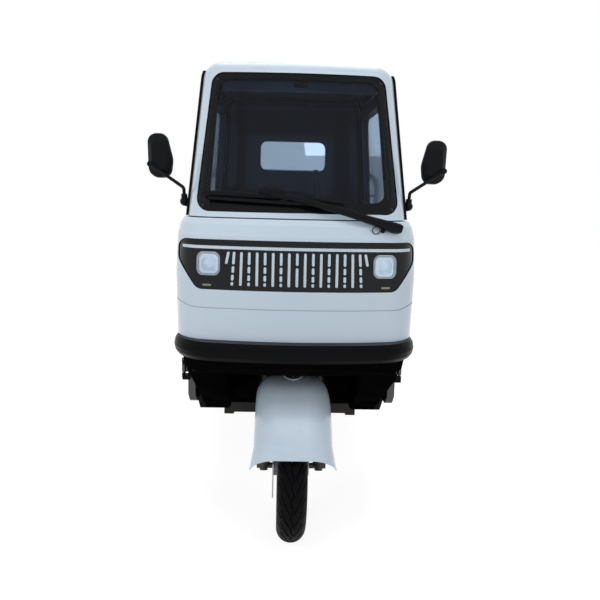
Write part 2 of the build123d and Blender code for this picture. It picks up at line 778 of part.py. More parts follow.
def brake_pedal():
    """Foot brake on the right-hand toe board."""
    foot = block(-320, -280, behind(400), behind(440), FLOOR_Z + SHEET + PIN_GAP, FLOOR_Z + SHEET + 30)
    path = [(-300, behind(420), FLOOR_Z + 20), (-300, behind(330), 470), (-300, behind(300), 540)]
    arm = pipe(path, 7, 20)
    pad = Pos(-300, behind(304), 545) * Rot(-30, 0, 0) * Box(60, 12, 46)
    return foot + arm + pad


# Frame cross members: distance behind the front axle
CROSS_MEMBERS_LOW = (RAIL_FRONT + 20, 700, 980)
CROSS_MEMBERS_HIGH = (1260, 1640, 2060, 2440)

RAIL_LOW_Z = FLOOR_Z - PIN_GAP - RAIL_HEIGHT
BED_SILL_Z = BED_FLOOR_Z - BED_SKIN - BEARER_HEIGHT
RAIL_HIGH_Z = BED_SILL_Z - PIN_GAP - RAIL_HEIGHT
BED_BACK = BED_BACK_Y - FRONT_AXLE_Y


def frame():
    """Ladder chassis, neck and head tube."""
    low, high, tall = RAIL_LOW_Z, RAIL_HIGH_Z, RAIL_HEIGHT
    kick = RAIL_KICK_START + RAIL_KICK_RUN
    rail = side_prism(
        [
            (RAIL_FRONT, low),
            (RAIL_KICK_START, low),
            (kick, high),
            (BED_BACK - 30, high),
            (BED_BACK - 30, high + tall),
            (kick - 16, high + tall),
            (RAIL_KICK_START - 16, low + tall),
            (RAIL_FRONT, low + tall),
        ],
        RAIL_X - RAIL_WIDTH / 2,
        RAIL_X + RAIL_WIDTH / 2,
    )
    members = [
        block(-RAIL_X, RAIL_X, behind(y - 20), behind(y + 20), z + 8, z + tall - 2)
        for z, row in ((low, CROSS_MEMBERS_LOW), (high, CROSS_MEMBERS_HIGH))
        for y in row
    ]
    neck = pipe(
        [
            (0, behind(RAIL_FRONT + 10), low + 30),
            (0, behind(NECK_Y), low + 30),
            (0, behind(NECK_Y), 640),
            axis_point(HEAD_LOW + 70, 24),
        ],
        NECK_R,
        [40, 56],
    )
    head = rod(axis_point(HEAD_LOW), axis_point(HEAD_HIGH), HEAD_R)
    bore = rod(axis_point(HEAD_LOW - 10), axis_point(HEAD_HIGH + 10), STEM_R + PIN_GAP)
    brace = side_prism([(NECK_Y, 560), (NECK_Y, 700), (190, 735), (170, 690)], -4, 4)
    return joined([rail, mirrored(rail), *members, neck, head, brace]) - bore


# Leaf spring levels: the main leaf's underside over the axle, and its eyes; shackle pin behind the rear eye
SPRING_SEAT_Z = REAR_TYRE_R + AXLE_TUBE_R + 10
MAIN_LEAF_Z = SPRING_SEAT_Z + (LEAF_COUNT - 1) * LEAF_THICKNESS
SPRING_EYE_Z = MAIN_LEAF_Z + SPRING_DROP + 12
EYE_R = 15
LEAF_LENGTHS = (SPRING_HALF, 340, 250, 160)
SHACKLE_RUN = 18
SHACKLE_RISE = 40
HANGERS = (
    (WHEELBASE - SPRING_HALF, SPRING_EYE_Z),
    (WHEELBASE + SPRING_HALF + SHACKLE_RUN, SPRING_EYE_Z + SHACKLE_RISE),
)


def spring_hangers():
    """Hangers under the rails that hold the spring eyes and shackles."""
    hangers, high = [], RAIL_HIGH_Z
    for y, eye_z in HANGERS:
        cheek = [(y - 20, high - 4), (y + 20, high - 4), (y + 12, eye_z - 14), (y - 12, eye_z - 14)]
        left, right = RAIL_X - LEAF_WIDTH / 2 - 7, RAIL_X + LEAF_WIDTH / 2 + 7
        hangers.append(
            joined(
                [
                    block(left, right, behind(y - 26), behind(y + 26), high - 6, high - PIN_GAP),
                    side_prism(cheek, left, left + 5),
                    side_prism(cheek, right - 5, right),
                    rod((left, behind(y), eye_z), (right, behind(y), eye_z), 6),
                ]
            )
        )
    return group(*hangers, *[mirrored(hanger) for hanger in hangers])


def leaf_spring():
    """Left spring pack with its eyes and rear shackle."""
    bend = (SPRING_HALF**2 + SPRING_DROP**2) / (2 * SPRING_DROP)

    def arc(half, level):
        # Two concentric arcs joined at their ends
        radius, centre = bend + MAIN_LEAF_Z - level, MAIN_LEAF_Z + bend
        turn = math.asin(half / radius)
        inner = radius - LEAF_THICKNESS

        def at(r, angle):
            return (WHEELBASE + r * math.sin(angle), centre - r * math.cos(angle))

        edges = [
            ThreePointArc(at(radius, -turn), at(radius, 0), at(radius, turn)),
            Line(at(radius, turn), at(inner, turn)),
            ThreePointArc(at(inner, turn), at(inner, 0), at(inner, -turn)),
            Line(at(inner, -turn), at(radius, -turn)),
        ]
        plane = Plane(origin=(RAIL_X - LEAF_WIDTH / 2, FRONT_AXLE_Y, 0), x_dir=(0, 1, 0), z_dir=(1, 0, 0))
        return extrude(plane * make_face(edges), amount=LEAF_WIDTH)

    leaves = [arc(half, MAIN_LEAF_Z - place * LEAF_THICKNESS) for place, half in enumerate(LEAF_LENGTHS)]
    ends = []
    for end in (-1, 1):
        y = WHEELBASE + end * SPRING_HALF
        ends.append(spring_eye(y))
    clamp = block(
        RAIL_X - LEAF_WIDTH / 2 - 6,
        RAIL_X + LEAF_WIDTH / 2 + 6,
        REAR_AXLE_Y - 45,
        REAR_AXLE_Y + 45,
        MAIN_LEAF_Z + LEAF_THICKNESS - 1,
        MAIN_LEAF_Z + LEAF_THICKNESS + 9,
    )
    shackle_y, shackle_z = HANGERS[1]
    links = [
        rod((x, behind(shackle_y - SHACKLE_RUN), SPRING_EYE_Z), (x, behind(shackle_y), shackle_z), 5)
        for x in (RAIL_X - LEAF_WIDTH / 2 + 8, RAIL_X + LEAF_WIDTH / 2 - 8)
    ]
    upper_eye = rod(
        (RAIL_X - LEAF_WIDTH / 2, behind(shackle_y), shackle_z),
        (RAIL_X + LEAF_WIDTH / 2, behind(shackle_y), shackle_z),
        13,
    )
    pack = joined([*leaves, *ends, clamp, *links, upper_eye])
    for y, z in HANGERS:
        pack -= rod((RAIL_X - 40, behind(y), z), (RAIL_X + 40, behind(y), z), 6 + PIN_GAP)
    return pack


def spring_eye(y):
    """Rolled eye at one end of the main leaf."""
    left, right = RAIL_X - LEAF_WIDTH / 2, RAIL_X + LEAF_WIDTH / 2
    return rod((left, behind(y), SPRING_EYE_Z), (right, behind(y), SPRING_EYE_Z), EYE_R)


def rear_axle():
    """Axle beam with its gear case, drive motor block, brake plates and stub shafts."""
    z = REAR_TYRE_R
    y = REAR_AXLE_Y
    beam = rod((-AXLE_TUBE_HALF, y, z), (AXLE_TUBE_HALF, y, z), AXLE_TUBE_R)
    case = spin([(-70, 0), (-70, 60), (-35, 98), (35, 98), (70, 60), (70, 0)], (0, y, z))
    motor = rod((-60, y - 170, z + 24), (90, y - 170, z + 24), 82)
    nose = block(-50, 60, y - 170, y - 20, z - 40, z + 60)
    side = joined(
        [
            rod((AXLE_TUBE_HALF, y, z), (AXLE_TUBE_HALF + 6, y, z), 98),
            rod((AXLE_TUBE_HALF, y, z), (REAR_TRACK_HALF + 45, y, z), SHAFT_R),
            block(
                RAIL_X - LEAF_WIDTH / 2,
                RAIL_X + LEAF_WIDTH / 2,
                y - 45,
                y + 45,
                z + 12,
                SPRING_SEAT_Z - PIN_GAP,
            ),
        ]
    )
    return joined([beam, case, motor, nose, side, mirrored(side)])


def tyre(centre, radius, half):
    """Road tyre with a round crown, hollow inside."""
    bead, bulge = RIM_SEAT_R + PIN_GAP, RIM_SEAT_R + (radius - RIM_SEAT_R) * 0.5
    crown = [math.radians(step * TYRE_CROWN_STEP) for step in range(1, round(90 / TYRE_CROWN_STEP))]
    outer = [
        (-RIM_HALF + RIM_WALL + 2, bead),
        (-RIM_HALF + RIM_WALL + 1, bead + RIM_FLANGE + 3),
        (-half, bulge - 10),
        *[(-half * math.cos(turn), radius - half + half * math.sin(turn)) for turn in crown],
        (0, radius),
    ]
    wall = TYRE_WALL
    hollow, middle = half - wall, radius - half
    inner = [
        (0, radius - wall),
        *[(-hollow * math.cos(turn), middle + hollow * math.sin(turn)) for turn in reversed(crown)],
        (-half + wall + 1, bulge - 8),
        (-RIM_HALF + RIM_WALL + 14, bead + 2),
        (-RIM_HALF + RIM_WALL + 12, bead),
    ]
    right_outer = [(-x, r) for x, r in reversed(outer[:-1])]
    right_inner = [(-x, r) for x, r in reversed(inner[1:])]
    return spin([*outer, *right_outer, *right_inner, *inner], centre)


def rim(centre, hub_half, bore, dish=0):
    """Wheel with a well rim, spokes and a hub; dish moves the spokes outwards along X."""
    half, seat, wall = RIM_HALF, RIM_SEAT_R, RIM_WALL
    well = seat - RIM_WELL
    barrel = spin(
        [
            (-half, seat + RIM_FLANGE),
            (-half + wall, seat + RIM_FLANGE),
            (-half + wall, seat),
            (-half + 18, seat),
            (-half + 26, well),
            (half - 26, well),
            (half - 18, seat),
            (half - wall, seat),
            (half - wall, seat + RIM_FLANGE),
            (half, seat + RIM_FLANGE),
            (half, seat - wall),
            (half - 15, seat - wall),
            (half - 22, well - wall),
            (-half + 22, well - wall),
            (-half + 15, seat - wall),
            (-half, seat - wall),
        ],
        centre,
    )
    x, y, z = centre
    hub = rod((x - hub_half, y, z), (x + hub_half, y, z), HUB_R)
    spokes = []
    for place in range(SPOKE_COUNT):
        arm = block(x + dish - 9, x + dish + 9, y - 17, y + 17, z + HUB_R - 6, z + well - wall + 1)
        spokes.append(arm.rotate(Axis(centre, (1, 0, 0)), place * 360 / SPOKE_COUNT))
    wheel = joined([barrel, hub, *spokes])
    return wheel - rod((x - hub_half - 1, y, z), (x + hub_half + 1, y, z), bore)


FRONT_CENTRE = (0, FRONT_AXLE_Y, FRONT_TYRE_R)
REAR_CENTRE = (REAR_TRACK_HALF, REAR_AXLE_Y, REAR_TYRE_R)


def brake_disc():
    """Slotted front brake disc with its carrier."""
    x, y, z = FRONT_CENTRE
    low, high = -DISC_X - DISC_THICKNESS / 2, -DISC_X + DISC_THICKNESS / 2
    disc = rod((low, y, z), (high, y, z), DISC_R) - rod((low - 1, y, z), (high + 1, y, z), AXLE_R + 4)
    for place in range(DISC_HOLE_COUNT):
        angle = place * 2 * math.pi / DISC_HOLE_COUNT
        for distance in (60, 84):
            cut_y, cut_z = y + distance * math.cos(angle), z + distance * math.sin(angle)
            disc -= rod((low - 1, cut_y, cut_z), (high + 1, cut_y, cut_z), 7)
    return disc


def brake_caliper():
    """Caliper straddling the disc behind the right fork leg."""
    x, y, z = FRONT_CENTRE
    body = Pos(CALIPER_X + 17, y + 86, z + 66) * Rot(40, 0, 0) * Box(34, 62, 44)
    slot = rod((-DISC_X - 7, y, z), (-DISC_X + 7, y, z), DISC_R + 6)
    return body - slot


def fork():
    """Telescopic fork with gaiters, lower bridge, axle and steering stem."""
    leg = joined(
        [
            leg_rod(-2, SLIDER_TOP, SLIDER_R),
            leg_rod(-16, 0, SLIDER_R - 7),
            leg_rod(SLIDER_TOP - 5, BRIDGE_HIGH + 4, STANCHION_R),
        ]
    )
    pitch = (GAITER_TOP - SLIDER_TOP) / GAITER_RINGS
    rings = [
        rod(
            axis_point(SLIDER_TOP + place * pitch, -FORK_OFFSET, LEG_X),
            axis_point(SLIDER_TOP + (place + 0.6) * pitch, -FORK_OFFSET, LEG_X),
            GAITER_R,
        )
        for place in range(GAITER_RINGS)
    ]
    core = leg_rod(SLIDER_TOP - 4, GAITER_TOP, GAITER_R - 4)
    leg = joined([leg, core, *rings])
    plane = Plane(origin=axis_point(BRIDGE_LOW), x_dir=(1, 0, 0), z_dir=(0, math.sin(RAKE), math.cos(RAKE)))
    bridge = extrude(
        plane
        * make_face(
            FilletPolyline(
                (-LEG_X - 26, -FORK_OFFSET - 20),
                (LEG_X + 26, -FORK_OFFSET - 20),
                (LEG_X + 26, -FORK_OFFSET + 20),
                (34, 30),
                (-34, 30),
                (-LEG_X - 26, -FORK_OFFSET + 20),
                radius=12,
                close=True,
            )
        ),
        amount=BRIDGE_HIGH - BRIDGE_LOW,
    )
    lug_x = CALIPER_X - PIN_GAP
    lug = side_prism([(0, 282), (18, 352), (104, 350), (96, 300), (60, 282)], lug_x - 8, lug_x, 8)
    stem = rod(axis_point(BRIDGE_LOW), axis_point(STEM_TOP), STEM_R)
    axle = rod((-LEG_X - 24, FRONT_AXLE_Y, FRONT_TYRE_R), (LEG_X + 24, FRONT_AXLE_Y, FRONT_TYRE_R), AXLE_R)
    return joined([leg, mirrored(leg), lug, bridge, stem, axle])


def handlebar():
    """Handlebar with grips, levers and the clamp on the stem."""
    _, y, z = axis_point(STEM_TOP + 20)
    bar = pipe(
        [
            (-BAR_HALF, y + 44, z + 14),
            (-140, y + 20, z + 26),
            (-60, y, z),
            (60, y, z),
            (140, y + 20, z + 26),
            (BAR_HALF, y + 44, z + 14),
        ],
        BAR_R,
        26,
    )
    clamp = rod(axis_point(STEM_TOP - 34), axis_point(STEM_TOP + 34), STEM_R + 9)
    clamp -= rod(axis_point(STEM_TOP - 40), axis_point(STEM_TOP + PIN_GAP), STEM_R + PIN_GAP)
    side = joined(
        [
            rod((BAR_HALF - 116, y + 25, z + 24), (BAR_HALF, y + 44, z + 14), GRIP_R),
            Pos(BAR_HALF - 132, y + 20, z + 25) * Box(28, 40, 36),
            rod((BAR_HALF - 128, y + 4, z + 20), (BAR_HALF - 10, y + 2, z + 4), 5),
        ]
    )
    return joined([bar, clamp, side, mirrored(side)])


def guard_channel(half, top, foot):
    """Channel section of the front mudguard: (x, distance) outline with round shoulders."""
    outline_edges = []
    for inset in (0, GUARD_WALL):
        h, t = half - inset, top - inset
        drop, run = GUARD_SHOULDER_HEIGHT - inset, GUARD_SHOULDER_RUN - inset
        f = foot - (10 if inset else 0)
        inward, down = run * (1 - math.sqrt(0.5)), drop * (1 - math.sqrt(0.5))
        outline_edges.append(
            make_face(
                [
                    Line((-h, f), (-h, t - drop)),
                    ThreePointArc((-h, t - drop), (-h + inward, t - down), (-h + run, t)),
                    Line((-h + run, t), (h - run, t)),
                    ThreePointArc((h - run, t), (h - inward, t - down), (h, t - drop)),
                    Line((h, t - drop), (h, f)),
                    Line((h, f), (-h, f)),
                ]
            )
        )
    outer, inner = outline_edges
    return outer - inner


def guard_plane(angle):
    """Plane through the front axle at an angle above the horizontal, seen from the front."""
    return Plane(origin=FRONT_CENTRE, x_dir=(1, 0, 0), z_dir=(0, -math.sin(angle), -math.cos(angle)))


def mudguard_front():
    """Deep front mudguard with round shoulders and flared front corners, turning with the fork."""
    flare = GUARD_FRONT + math.radians(11)
    section = guard_plane(flare) * guard_channel(GUARD_HALF, GUARD_R, GUARD_SKIRT_R)
    turn = math.degrees(math.pi - flare - GUARD_REAR)
    shell = revolve(section, Axis(FRONT_CENTRE, (1, 0, 0)), -turn)
    lip_y, lip_z = FRONT_AXLE_Y - FRONT_REACH, FRONT_TYRE_R + GUARD_R * math.sin(GUARD_FRONT)
    lean = GUARD_FRONT + math.radians(22)
    lip_plane = Plane(
        origin=(0, lip_y + GUARD_R * math.cos(lean), lip_z - GUARD_R * math.sin(lean)),
        x_dir=(1, 0, 0),
        z_dir=(0, -math.sin(lean), -math.cos(lean)),
    )
    lip = lip_plane * guard_channel(GUARD_HALF + GUARD_FLARE, GUARD_R, GUARD_SKIRT_R)
    shell += loft([section, lip], ruled=True)
    slot = leg_rod(170, BRIDGE_HIGH, GAITER_R + 1)
    throat_low, throat_high = axis_point(290), axis_point(BRIDGE_HIGH)
    collar = rod(axis_point(318), axis_point(352), GUARD_NOTCH_R + GUARD_WALL)
    under = GUARD_R - GUARD_WALL
    collar -= spin([(-200, 0), (200, 0), (200, under), (-200, under)], FRONT_CENTRE)
    return (shell + collar) - rod(throat_low, throat_high, GUARD_NOTCH_R) - slot - mirrored(slot)


def hinge_rows(y0, y1):
    """Middle of each hinge knuckle along a board."""
    return [y0 + (place + 0.5) * (y1 - y0) / HINGE_COUNT for place in range(HINGE_COUNT)]


BOARD_FOOT_Z = BED_FLOOR_Z + 2
HINGE_Z = BOARD_FOOT_Z - HINGE_R + 2
SIDE_HINGE_X = BED_HALF + SHUT_GAP + BOARD_THICKNESS + HINGE_R
SIDE_BOARD_LENGTH = BED_BACK - BED_FRONT - 2 * SHUT_GAP
TAILGATE_LENGTH = 2 * (BED_HALF + SHUT_GAP + BOARD_THICKNESS)
TAIL_HINGE_Y = BED_BACK_Y + SHUT_GAP + BOARD_THICKNESS + HINGE_R


def board(length):
    """Pressed board standing on X, its inner face on y = 0 and its foot on z = 0."""
    panel = Pos(0, BOARD_THICKNESS / 2, BOARD_HEIGHT / 2) * Box(length, BOARD_THICKNESS, BOARD_HEIGHT)
    bay = (length - 60) / BOARD_RIBS
    for place in range(BOARD_RIBS):
        x = -length / 2 + 30 + (place + 0.5) * bay
        panel -= Pos(x, BOARD_THICKNESS - 5, BOARD_HEIGHT / 2) * Box(bay - 30, 12, BOARD_HEIGHT - 70)
        for row in (-1, 1):
            panel += Pos(x, BOARD_THICKNESS - 8, BOARD_HEIGHT / 2 + row * 48) * Box(bay - 30, 10, 22)
    return panel


def board_hinges(length, arm):
    """Hinge eyes under a board, around a pin on X at y = arm, z = 0."""
    eyes = []
    for place in hinge_rows(-length / 2, length / 2):
        eye = rod((place - 30, arm, 0), (place + 30, arm, 0), HINGE_R)
        strap = block(place - 22, place + 22, arm - HINGE_R - 4, arm, 0, 40)
        eyes.append((eye + strap) - rod((place - 40, arm, 0), (place + 40, arm, 0), HINGE_PIN_R + PIN_GAP))
    return joined(eyes)


def side_board():
    """Left drop side with its hinge eyes."""
    length = SIDE_BOARD_LENGTH
    middle = behind((BED_FRONT + BED_BACK) / 2)
    shape = Pos(0, 0, BOARD_FOOT_Z) * board(length)
    shape += Pos(0, 0, HINGE_Z) * board_hinges(length, BOARD_THICKNESS + HINGE_R)
    return Pos(BED_HALF + SHUT_GAP, middle, 0) * Rot(0, 0, -90) * shape


def tailgate():
    """Drop tailgate with its hinge eyes."""
    length = TAILGATE_LENGTH
    shape = Pos(0, 0, BOARD_FOOT_Z) * board(length)
    shape += Pos(0, 0, HINGE_Z) * board_hinges(length, BOARD_THICKNESS + HINGE_R)
    return Pos(0, BED_BACK_Y + SHUT_GAP, 0) * shape


def bed_floor():
    """Bed floor on its bearers, with corner posts and the pins of the board hinges."""
    front, back = behind(BED_FRONT), BED_BACK_Y
    sheet = block(-BED_HALF, BED_HALF, front, back, BED_FLOOR_Z - BED_SKIN, BED_FLOOR_Z)
    low, high = BED_SILL_Z, BED_FLOOR_Z - BED_SKIN
    edge = [
        block(-BED_HALF, -BED_HALF + BEARER_WIDTH, front, back, low, high),
        block(BED_HALF - BEARER_WIDTH, BED_HALF, front, back, low, high),
        block(-BED_HALF, BED_HALF, front, front + BEARER_WIDTH, low, high),
        block(-BED_HALF, BED_HALF, back - BEARER_WIDTH, back, low, high),
    ]
    span = back - front
    bearers = [
        block(-BED_HALF, BED_HALF, front + span * share - 20, front + span * share + 20, low, high)
        for share in (0.2, 0.4, 0.6, 0.8)
    ]
    posts = [
        block(x, x + side * POST, y, y + POST, BED_FLOOR_Z - 10, BED_FLOOR_Z + BOARD_HEIGHT)
        for side, x in ((1, -BED_HALF), (-1, BED_HALF))
        for y in (front, back - POST)
    ]
    pins = []
    length = SIDE_BOARD_LENGTH
    middle = behind((BED_FRONT + BED_BACK) / 2)
    for y in hinge_rows(middle - length / 2, middle + length / 2):
        pins.append(rod((SIDE_HINGE_X, y - 45, HINGE_Z), (SIDE_HINGE_X, y + 45, HINGE_Z), HINGE_PIN_R))
        for end in (-45, 38):
            foot = y + end
            pins.append(block(BED_HALF - 2, SIDE_HINGE_X + 4, foot, foot + 7, HINGE_Z - 8, HINGE_Z + 7))
    side_pins = joined(pins)
    tail_pins = []
    length = TAILGATE_LENGTH
    for x in hinge_rows(-length / 2, length / 2):
        tail_pins.append(rod((x - 45, TAIL_HINGE_Y, HINGE_Z), (x + 45, TAIL_HINGE_Y, HINGE_Z), HINGE_PIN_R))
        for end in (-45, 38):
            foot = x + end
            lug = block(foot, foot + 7, BED_BACK_Y - 2, TAIL_HINGE_Y + 4, HINGE_Z - 8, HINGE_Z + 7)
            tail_pins.append(lug)
    return joined([sheet, *edge, *bearers, *posts, side_pins, mirrored(side_pins), *tail_pins])


def headboard():
    """Fixed front board with a tube hoop above it."""
    y = behind(BED_FRONT)
    half, foot = BED_HALF - POST - 1, BED_FLOOR_Z + PIN_GAP
    panel = block(-half, half, y, y + BOARD_THICKNESS, foot, BED_FLOOR_Z + BOARD_HEIGHT)
    top = BED_FLOOR_Z + BOARD_HEIGHT + HOOP_HEIGHT
    low = BED_FLOOR_Z + BOARD_HEIGHT - 20
    half = BED_HALF - POST - 40
    hoop = pipe(
        [(-half, y + 14, low), (-half, y + 14, top), (half, y + 14, top), (half, y + 14, low)], HOOP_R, 60
    )
    rungs = [
        rod((-half, y + 14, low + 20 + step), (half, y + 14, low + 20 + step), 8) for step in (110, 200)
    ]
    return joined([panel, hoop, *rungs])


def mudguards_rear():
    """Sheet guards over the rear wheels, hung from the bed."""
    plane = Plane(origin=REAR_CENTRE, x_dir=(1, 0, 0), z_dir=(0, -1, 0))
    band = make_face(
        Polyline(
            (-REAR_GUARD_HALF, REAR_GUARD_R),
            (REAR_GUARD_HALF, REAR_GUARD_R),
            (REAR_GUARD_HALF, REAR_GUARD_R - 18),
            (REAR_GUARD_HALF - 3, REAR_GUARD_R - 18),
            (REAR_GUARD_HALF - 3, REAR_GUARD_R - 3),
            (-REAR_GUARD_HALF, REAR_GUARD_R - 3),
            close=True,
        )
    )
    guard = revolve(plane * band, Axis(REAR_CENTRE, (1, 0, 0)), 140)
    guard = guard.rotate(Axis(REAR_CENTRE, (1, 0, 0)), -70)
    x, y, z = REAR_CENTRE
    stays = []
    for place in (-120, 120):
        foot = z + math.sqrt(REAR_GUARD_R**2 - (abs(place) + 12) ** 2) - 3
        top = BED_FLOOR_Z - BED_SKIN - PIN_GAP
        stays.append(block(x - 12, x + 12, y + place - 12, y + place + 12, foot, top))
    return both(joined([guard, *stays]))


def tail_lamps():
    """Tail lamp blocks and the blank plate holder under the rear edge of the bed."""
    y = BED_BACK_Y
    top, foot = BED_SILL_Z - PIN_GAP, BED_SILL_Z - 92
    points = [(BED_BACK - 60, top), (BED_BACK - 12, top), (BED_BACK - 12, foot), (BED_BACK - 42, foot)]
    lamp = side_prism(points, 330, 470, 6)
    plate = block(-115, 115, y - 30, y - 26, BED_SILL_Z - 190, BED_SILL_Z - PIN_GAP)
    return group(lamp, mirrored(lamp), plate)


NODES = {
    "frame": frame,
    "spring_hangers": spring_hangers,
    "cab_tub": cab_tub,
    "front_apron": front_apron,
    "bumper": bumper,
    "front_fascia": front_fascia,
    "grille_panel": grille_panel,
    "light_bars": light_bars,
    "headlamps": headlamps,
    "headlamp_lenses": headlamp_lenses,
    "windscreen_surround": windscreen_surround,
    "windscreen": windscreen,
    "roof": roof,
    "side_frames": lambda: both(side_frame()),
    "rear_wall": rear_wall,
    "rear_window": rear_window,
    "dashboard": dashboard,
    "seat_base": seat_base,
    "seat_cushion": seat_cushion,
    "seat_back": seat_back,
    "battery_box": battery_box,
    "mirrors": lambda: both(mirror_set()),
    "wiper": wiper,
    "brake_pedal": brake_pedal,
    "door_left": door,
    "door_right": lambda: mirrored(door()),
    "door_glass_left": door_glass,
    "door_glass_right": lambda: mirrored(door_glass()),
    "bed_floor": bed_floor,
    "headboard": headboard,
    "side_board_left": side_board,
    "side_board_right": lambda: mirrored(side_board()),
    "tailgate": tailgate,
    "mudguards_rear": mudguards_rear,
    "tail_lamps": tail_lamps,
    "rear_axle": rear_axle,
    "leaf_springs": lambda: both(leaf_spring()),
    "fork": fork,
    "handlebar": handlebar,
    "mudguard_front": mudguard_front,
    "brake_caliper": brake_caliper,
    "brake_disc": brake_disc,
    "tyre_front": lambda: tyre(FRONT_CENTRE, FRONT_TYRE_R, FRONT_TYRE_HALF),
    "rim_front": lambda: rim(FRONT_CENTRE, DISC_X - DISC_THICKNESS / 2 - PIN_GAP, AXLE_R + PIN_GAP),
    "tyre_rear_left": lambda: tyre(REAR_CENTRE, REAR_TYRE_R, REAR_TYRE_HALF),
    "rim_rear_left": lambda: rim(REAR_CENTRE, 44, SHAFT_R + PIN_GAP, 14),
    "tyre_rear_right": lambda: mirrored(tyre(REAR_CENTRE, REAR_TYRE_R, REAR_TYRE_HALF)),
    "rim_rear_right": lambda: mirrored(rim(REAR_CENTRE, 44, SHAFT_R + PIN_GAP, 14)),
}

os.makedirs("parts", exist_ok=True)
for name, make in NODES.items():
    export_step(make(), f"parts/{name}.step")
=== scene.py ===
"""Looks of the electric cargo tricycle: paint, glass, tyres, seat, lamps and small fittings."""

import math

import bpy
import bmesh
import numpy as np
from mathutils import Matrix, Vector
from mathutils.bvhtree import BVHTree


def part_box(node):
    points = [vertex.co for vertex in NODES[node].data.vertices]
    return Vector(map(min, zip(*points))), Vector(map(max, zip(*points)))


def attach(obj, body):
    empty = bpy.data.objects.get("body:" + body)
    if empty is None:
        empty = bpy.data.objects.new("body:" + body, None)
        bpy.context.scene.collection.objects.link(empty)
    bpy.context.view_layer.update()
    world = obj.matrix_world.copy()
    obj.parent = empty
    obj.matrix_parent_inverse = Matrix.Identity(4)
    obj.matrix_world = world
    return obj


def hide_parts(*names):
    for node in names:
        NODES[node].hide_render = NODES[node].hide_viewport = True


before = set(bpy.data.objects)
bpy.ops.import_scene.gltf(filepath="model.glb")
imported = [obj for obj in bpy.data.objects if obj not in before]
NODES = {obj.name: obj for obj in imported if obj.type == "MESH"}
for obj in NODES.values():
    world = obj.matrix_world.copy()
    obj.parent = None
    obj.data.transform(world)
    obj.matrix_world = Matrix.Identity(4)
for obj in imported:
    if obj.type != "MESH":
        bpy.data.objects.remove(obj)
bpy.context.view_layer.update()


# Shader helpers


def tone(red, green, blue):
    """A colour written as 0-255 screen values."""

    def channel(value):
        value /= 255
        return value / 12.92 if value <= 0.04045 else ((value + 0.055) / 1.055) ** 2.4

    return (channel(red), channel(green), channel(blue), 1.0)


class Graph:
    """Short way to lay out one node tree."""

    def __init__(self, tree):
        self.tree = tree

    def node(self, kind, values=None, **settings):
        item = self.tree.nodes.new(kind)
        for key, value in settings.items():
            setattr(item, key, value)
        for key, value in (values or {}).items():
            self.feed(item.inputs[key], value)
        return item

    def feed(self, socket, value):
        if isinstance(value, bpy.types.NodeSocket):
            self.tree.links.new(value, socket)
        else:
            socket.default_value = value

    def math(self, operation, *values, clamp=False):
        item = self.node("ShaderNodeMath", operation=operation, use_clamp=clamp)
        for socket, value in zip(item.inputs, values):
            self.feed(socket, value)
        return item.outputs[0]

    def mix(self, factor, first, second):
        item = self.node("ShaderNodeMix", data_type="RGBA")
        self.feed(item.inputs[0], factor)
        self.feed(item.inputs[6], first)
        self.feed(item.inputs[7], second)
        return item.outputs[2]

    def blend(self, factor, first, second):
        item = self.node("ShaderNodeMix", data_type="FLOAT")
        self.feed(item.inputs[0], factor)
        self.feed(item.inputs[2], first)
        self.feed(item.inputs[3], second)
        return item.outputs[0]

    def ramp(self, value, low, high):
        item = self.node("ShaderNodeMapRange", interpolation_type="SMOOTHSTEP")
        self.feed(item.inputs[0], value)
        self.feed(item.inputs[1], low)
        self.feed(item.inputs[2], high)
        return item.outputs[0]

    def times(self, value, share):
        return self.math("MULTIPLY", value, share)

    def place(self):
        return self.node("ShaderNodeTexCoord").outputs["Object"]


NUMBER = "NodeSocketFloat"


def shader_group(name, inputs, outputs):
    """A shader node group; inputs is label: default."""
    tree = bpy.data.node_groups.new(name, "ShaderNodeTree")
    for label, value in inputs.items():
        tree.interface.new_socket(label, in_out="INPUT", socket_type=NUMBER).default_value = value
    for label in outputs:
        tree.interface.new_socket(label, in_out="OUTPUT", socket_type=NUMBER)
    graph = Graph(tree)
    return tree, graph, graph.node("NodeGroupInput"), graph.node("NodeGroupOutput")


def grain_group():
    """Cloudy tone and fine relief of a moulded, painted or cast surface."""
    tree, graph, given, result = shader_group(
        "surface_grain",
        {"Cloud Scale": 4.0, "Grain Scale": 400.0, "Roughness": 0.6},
        ["Cloud", "Height"],
    )
    place = graph.place()
    cloud = graph.node(
        "ShaderNodeTexNoise", {"Vector": place, "Scale": given.outputs[0], "Detail": 4.0}
    )
    fine = graph.node(
        "ShaderNodeTexNoise",
        {"Vector": place, "Scale": given.outputs[1], "Detail": 3.0, "Roughness": given.outputs[2]},
    )
    graph.feed(result.inputs[0], graph.ramp(cloud.outputs[0], 0.3, 0.7))
    graph.feed(result.inputs[1], fine.outputs[0])
    return tree


def edge_group():
    """Mask of rubbed and chipped edges, from the angle between the true and a rounded normal."""
    tree, graph, given, result = shader_group(
        "edge_wear", {"Width": 0.003, "Chips": 60.0, "Amount": 0.5}, ["Mask"]
    )
    rounded = graph.node("ShaderNodeBevel", {"Radius": given.outputs[0]}, samples=4)
    true = graph.node("ShaderNodeNewGeometry").outputs["Normal"]
    product = graph.node("ShaderNodeVectorMath", operation="DOT_PRODUCT")
    graph.feed(product.inputs[0], rounded.outputs[0])
    graph.feed(product.inputs[1], true)
    edge = graph.ramp(graph.math("SUBTRACT", 1.0, product.outputs["Value"]), 0.01, 0.12)
    chips = graph.node(
        "ShaderNodeTexNoise", {"Vector": graph.place(), "Scale": given.outputs[1], "Detail": 5.0}
    )
    broken = graph.ramp(chips.outputs[0], graph.math("SUBTRACT", 0.8, given.outputs[2]), 0.85)
    graph.feed(result.inputs[0], graph.math("MULTIPLY", edge, broken, clamp=True))
    return tree


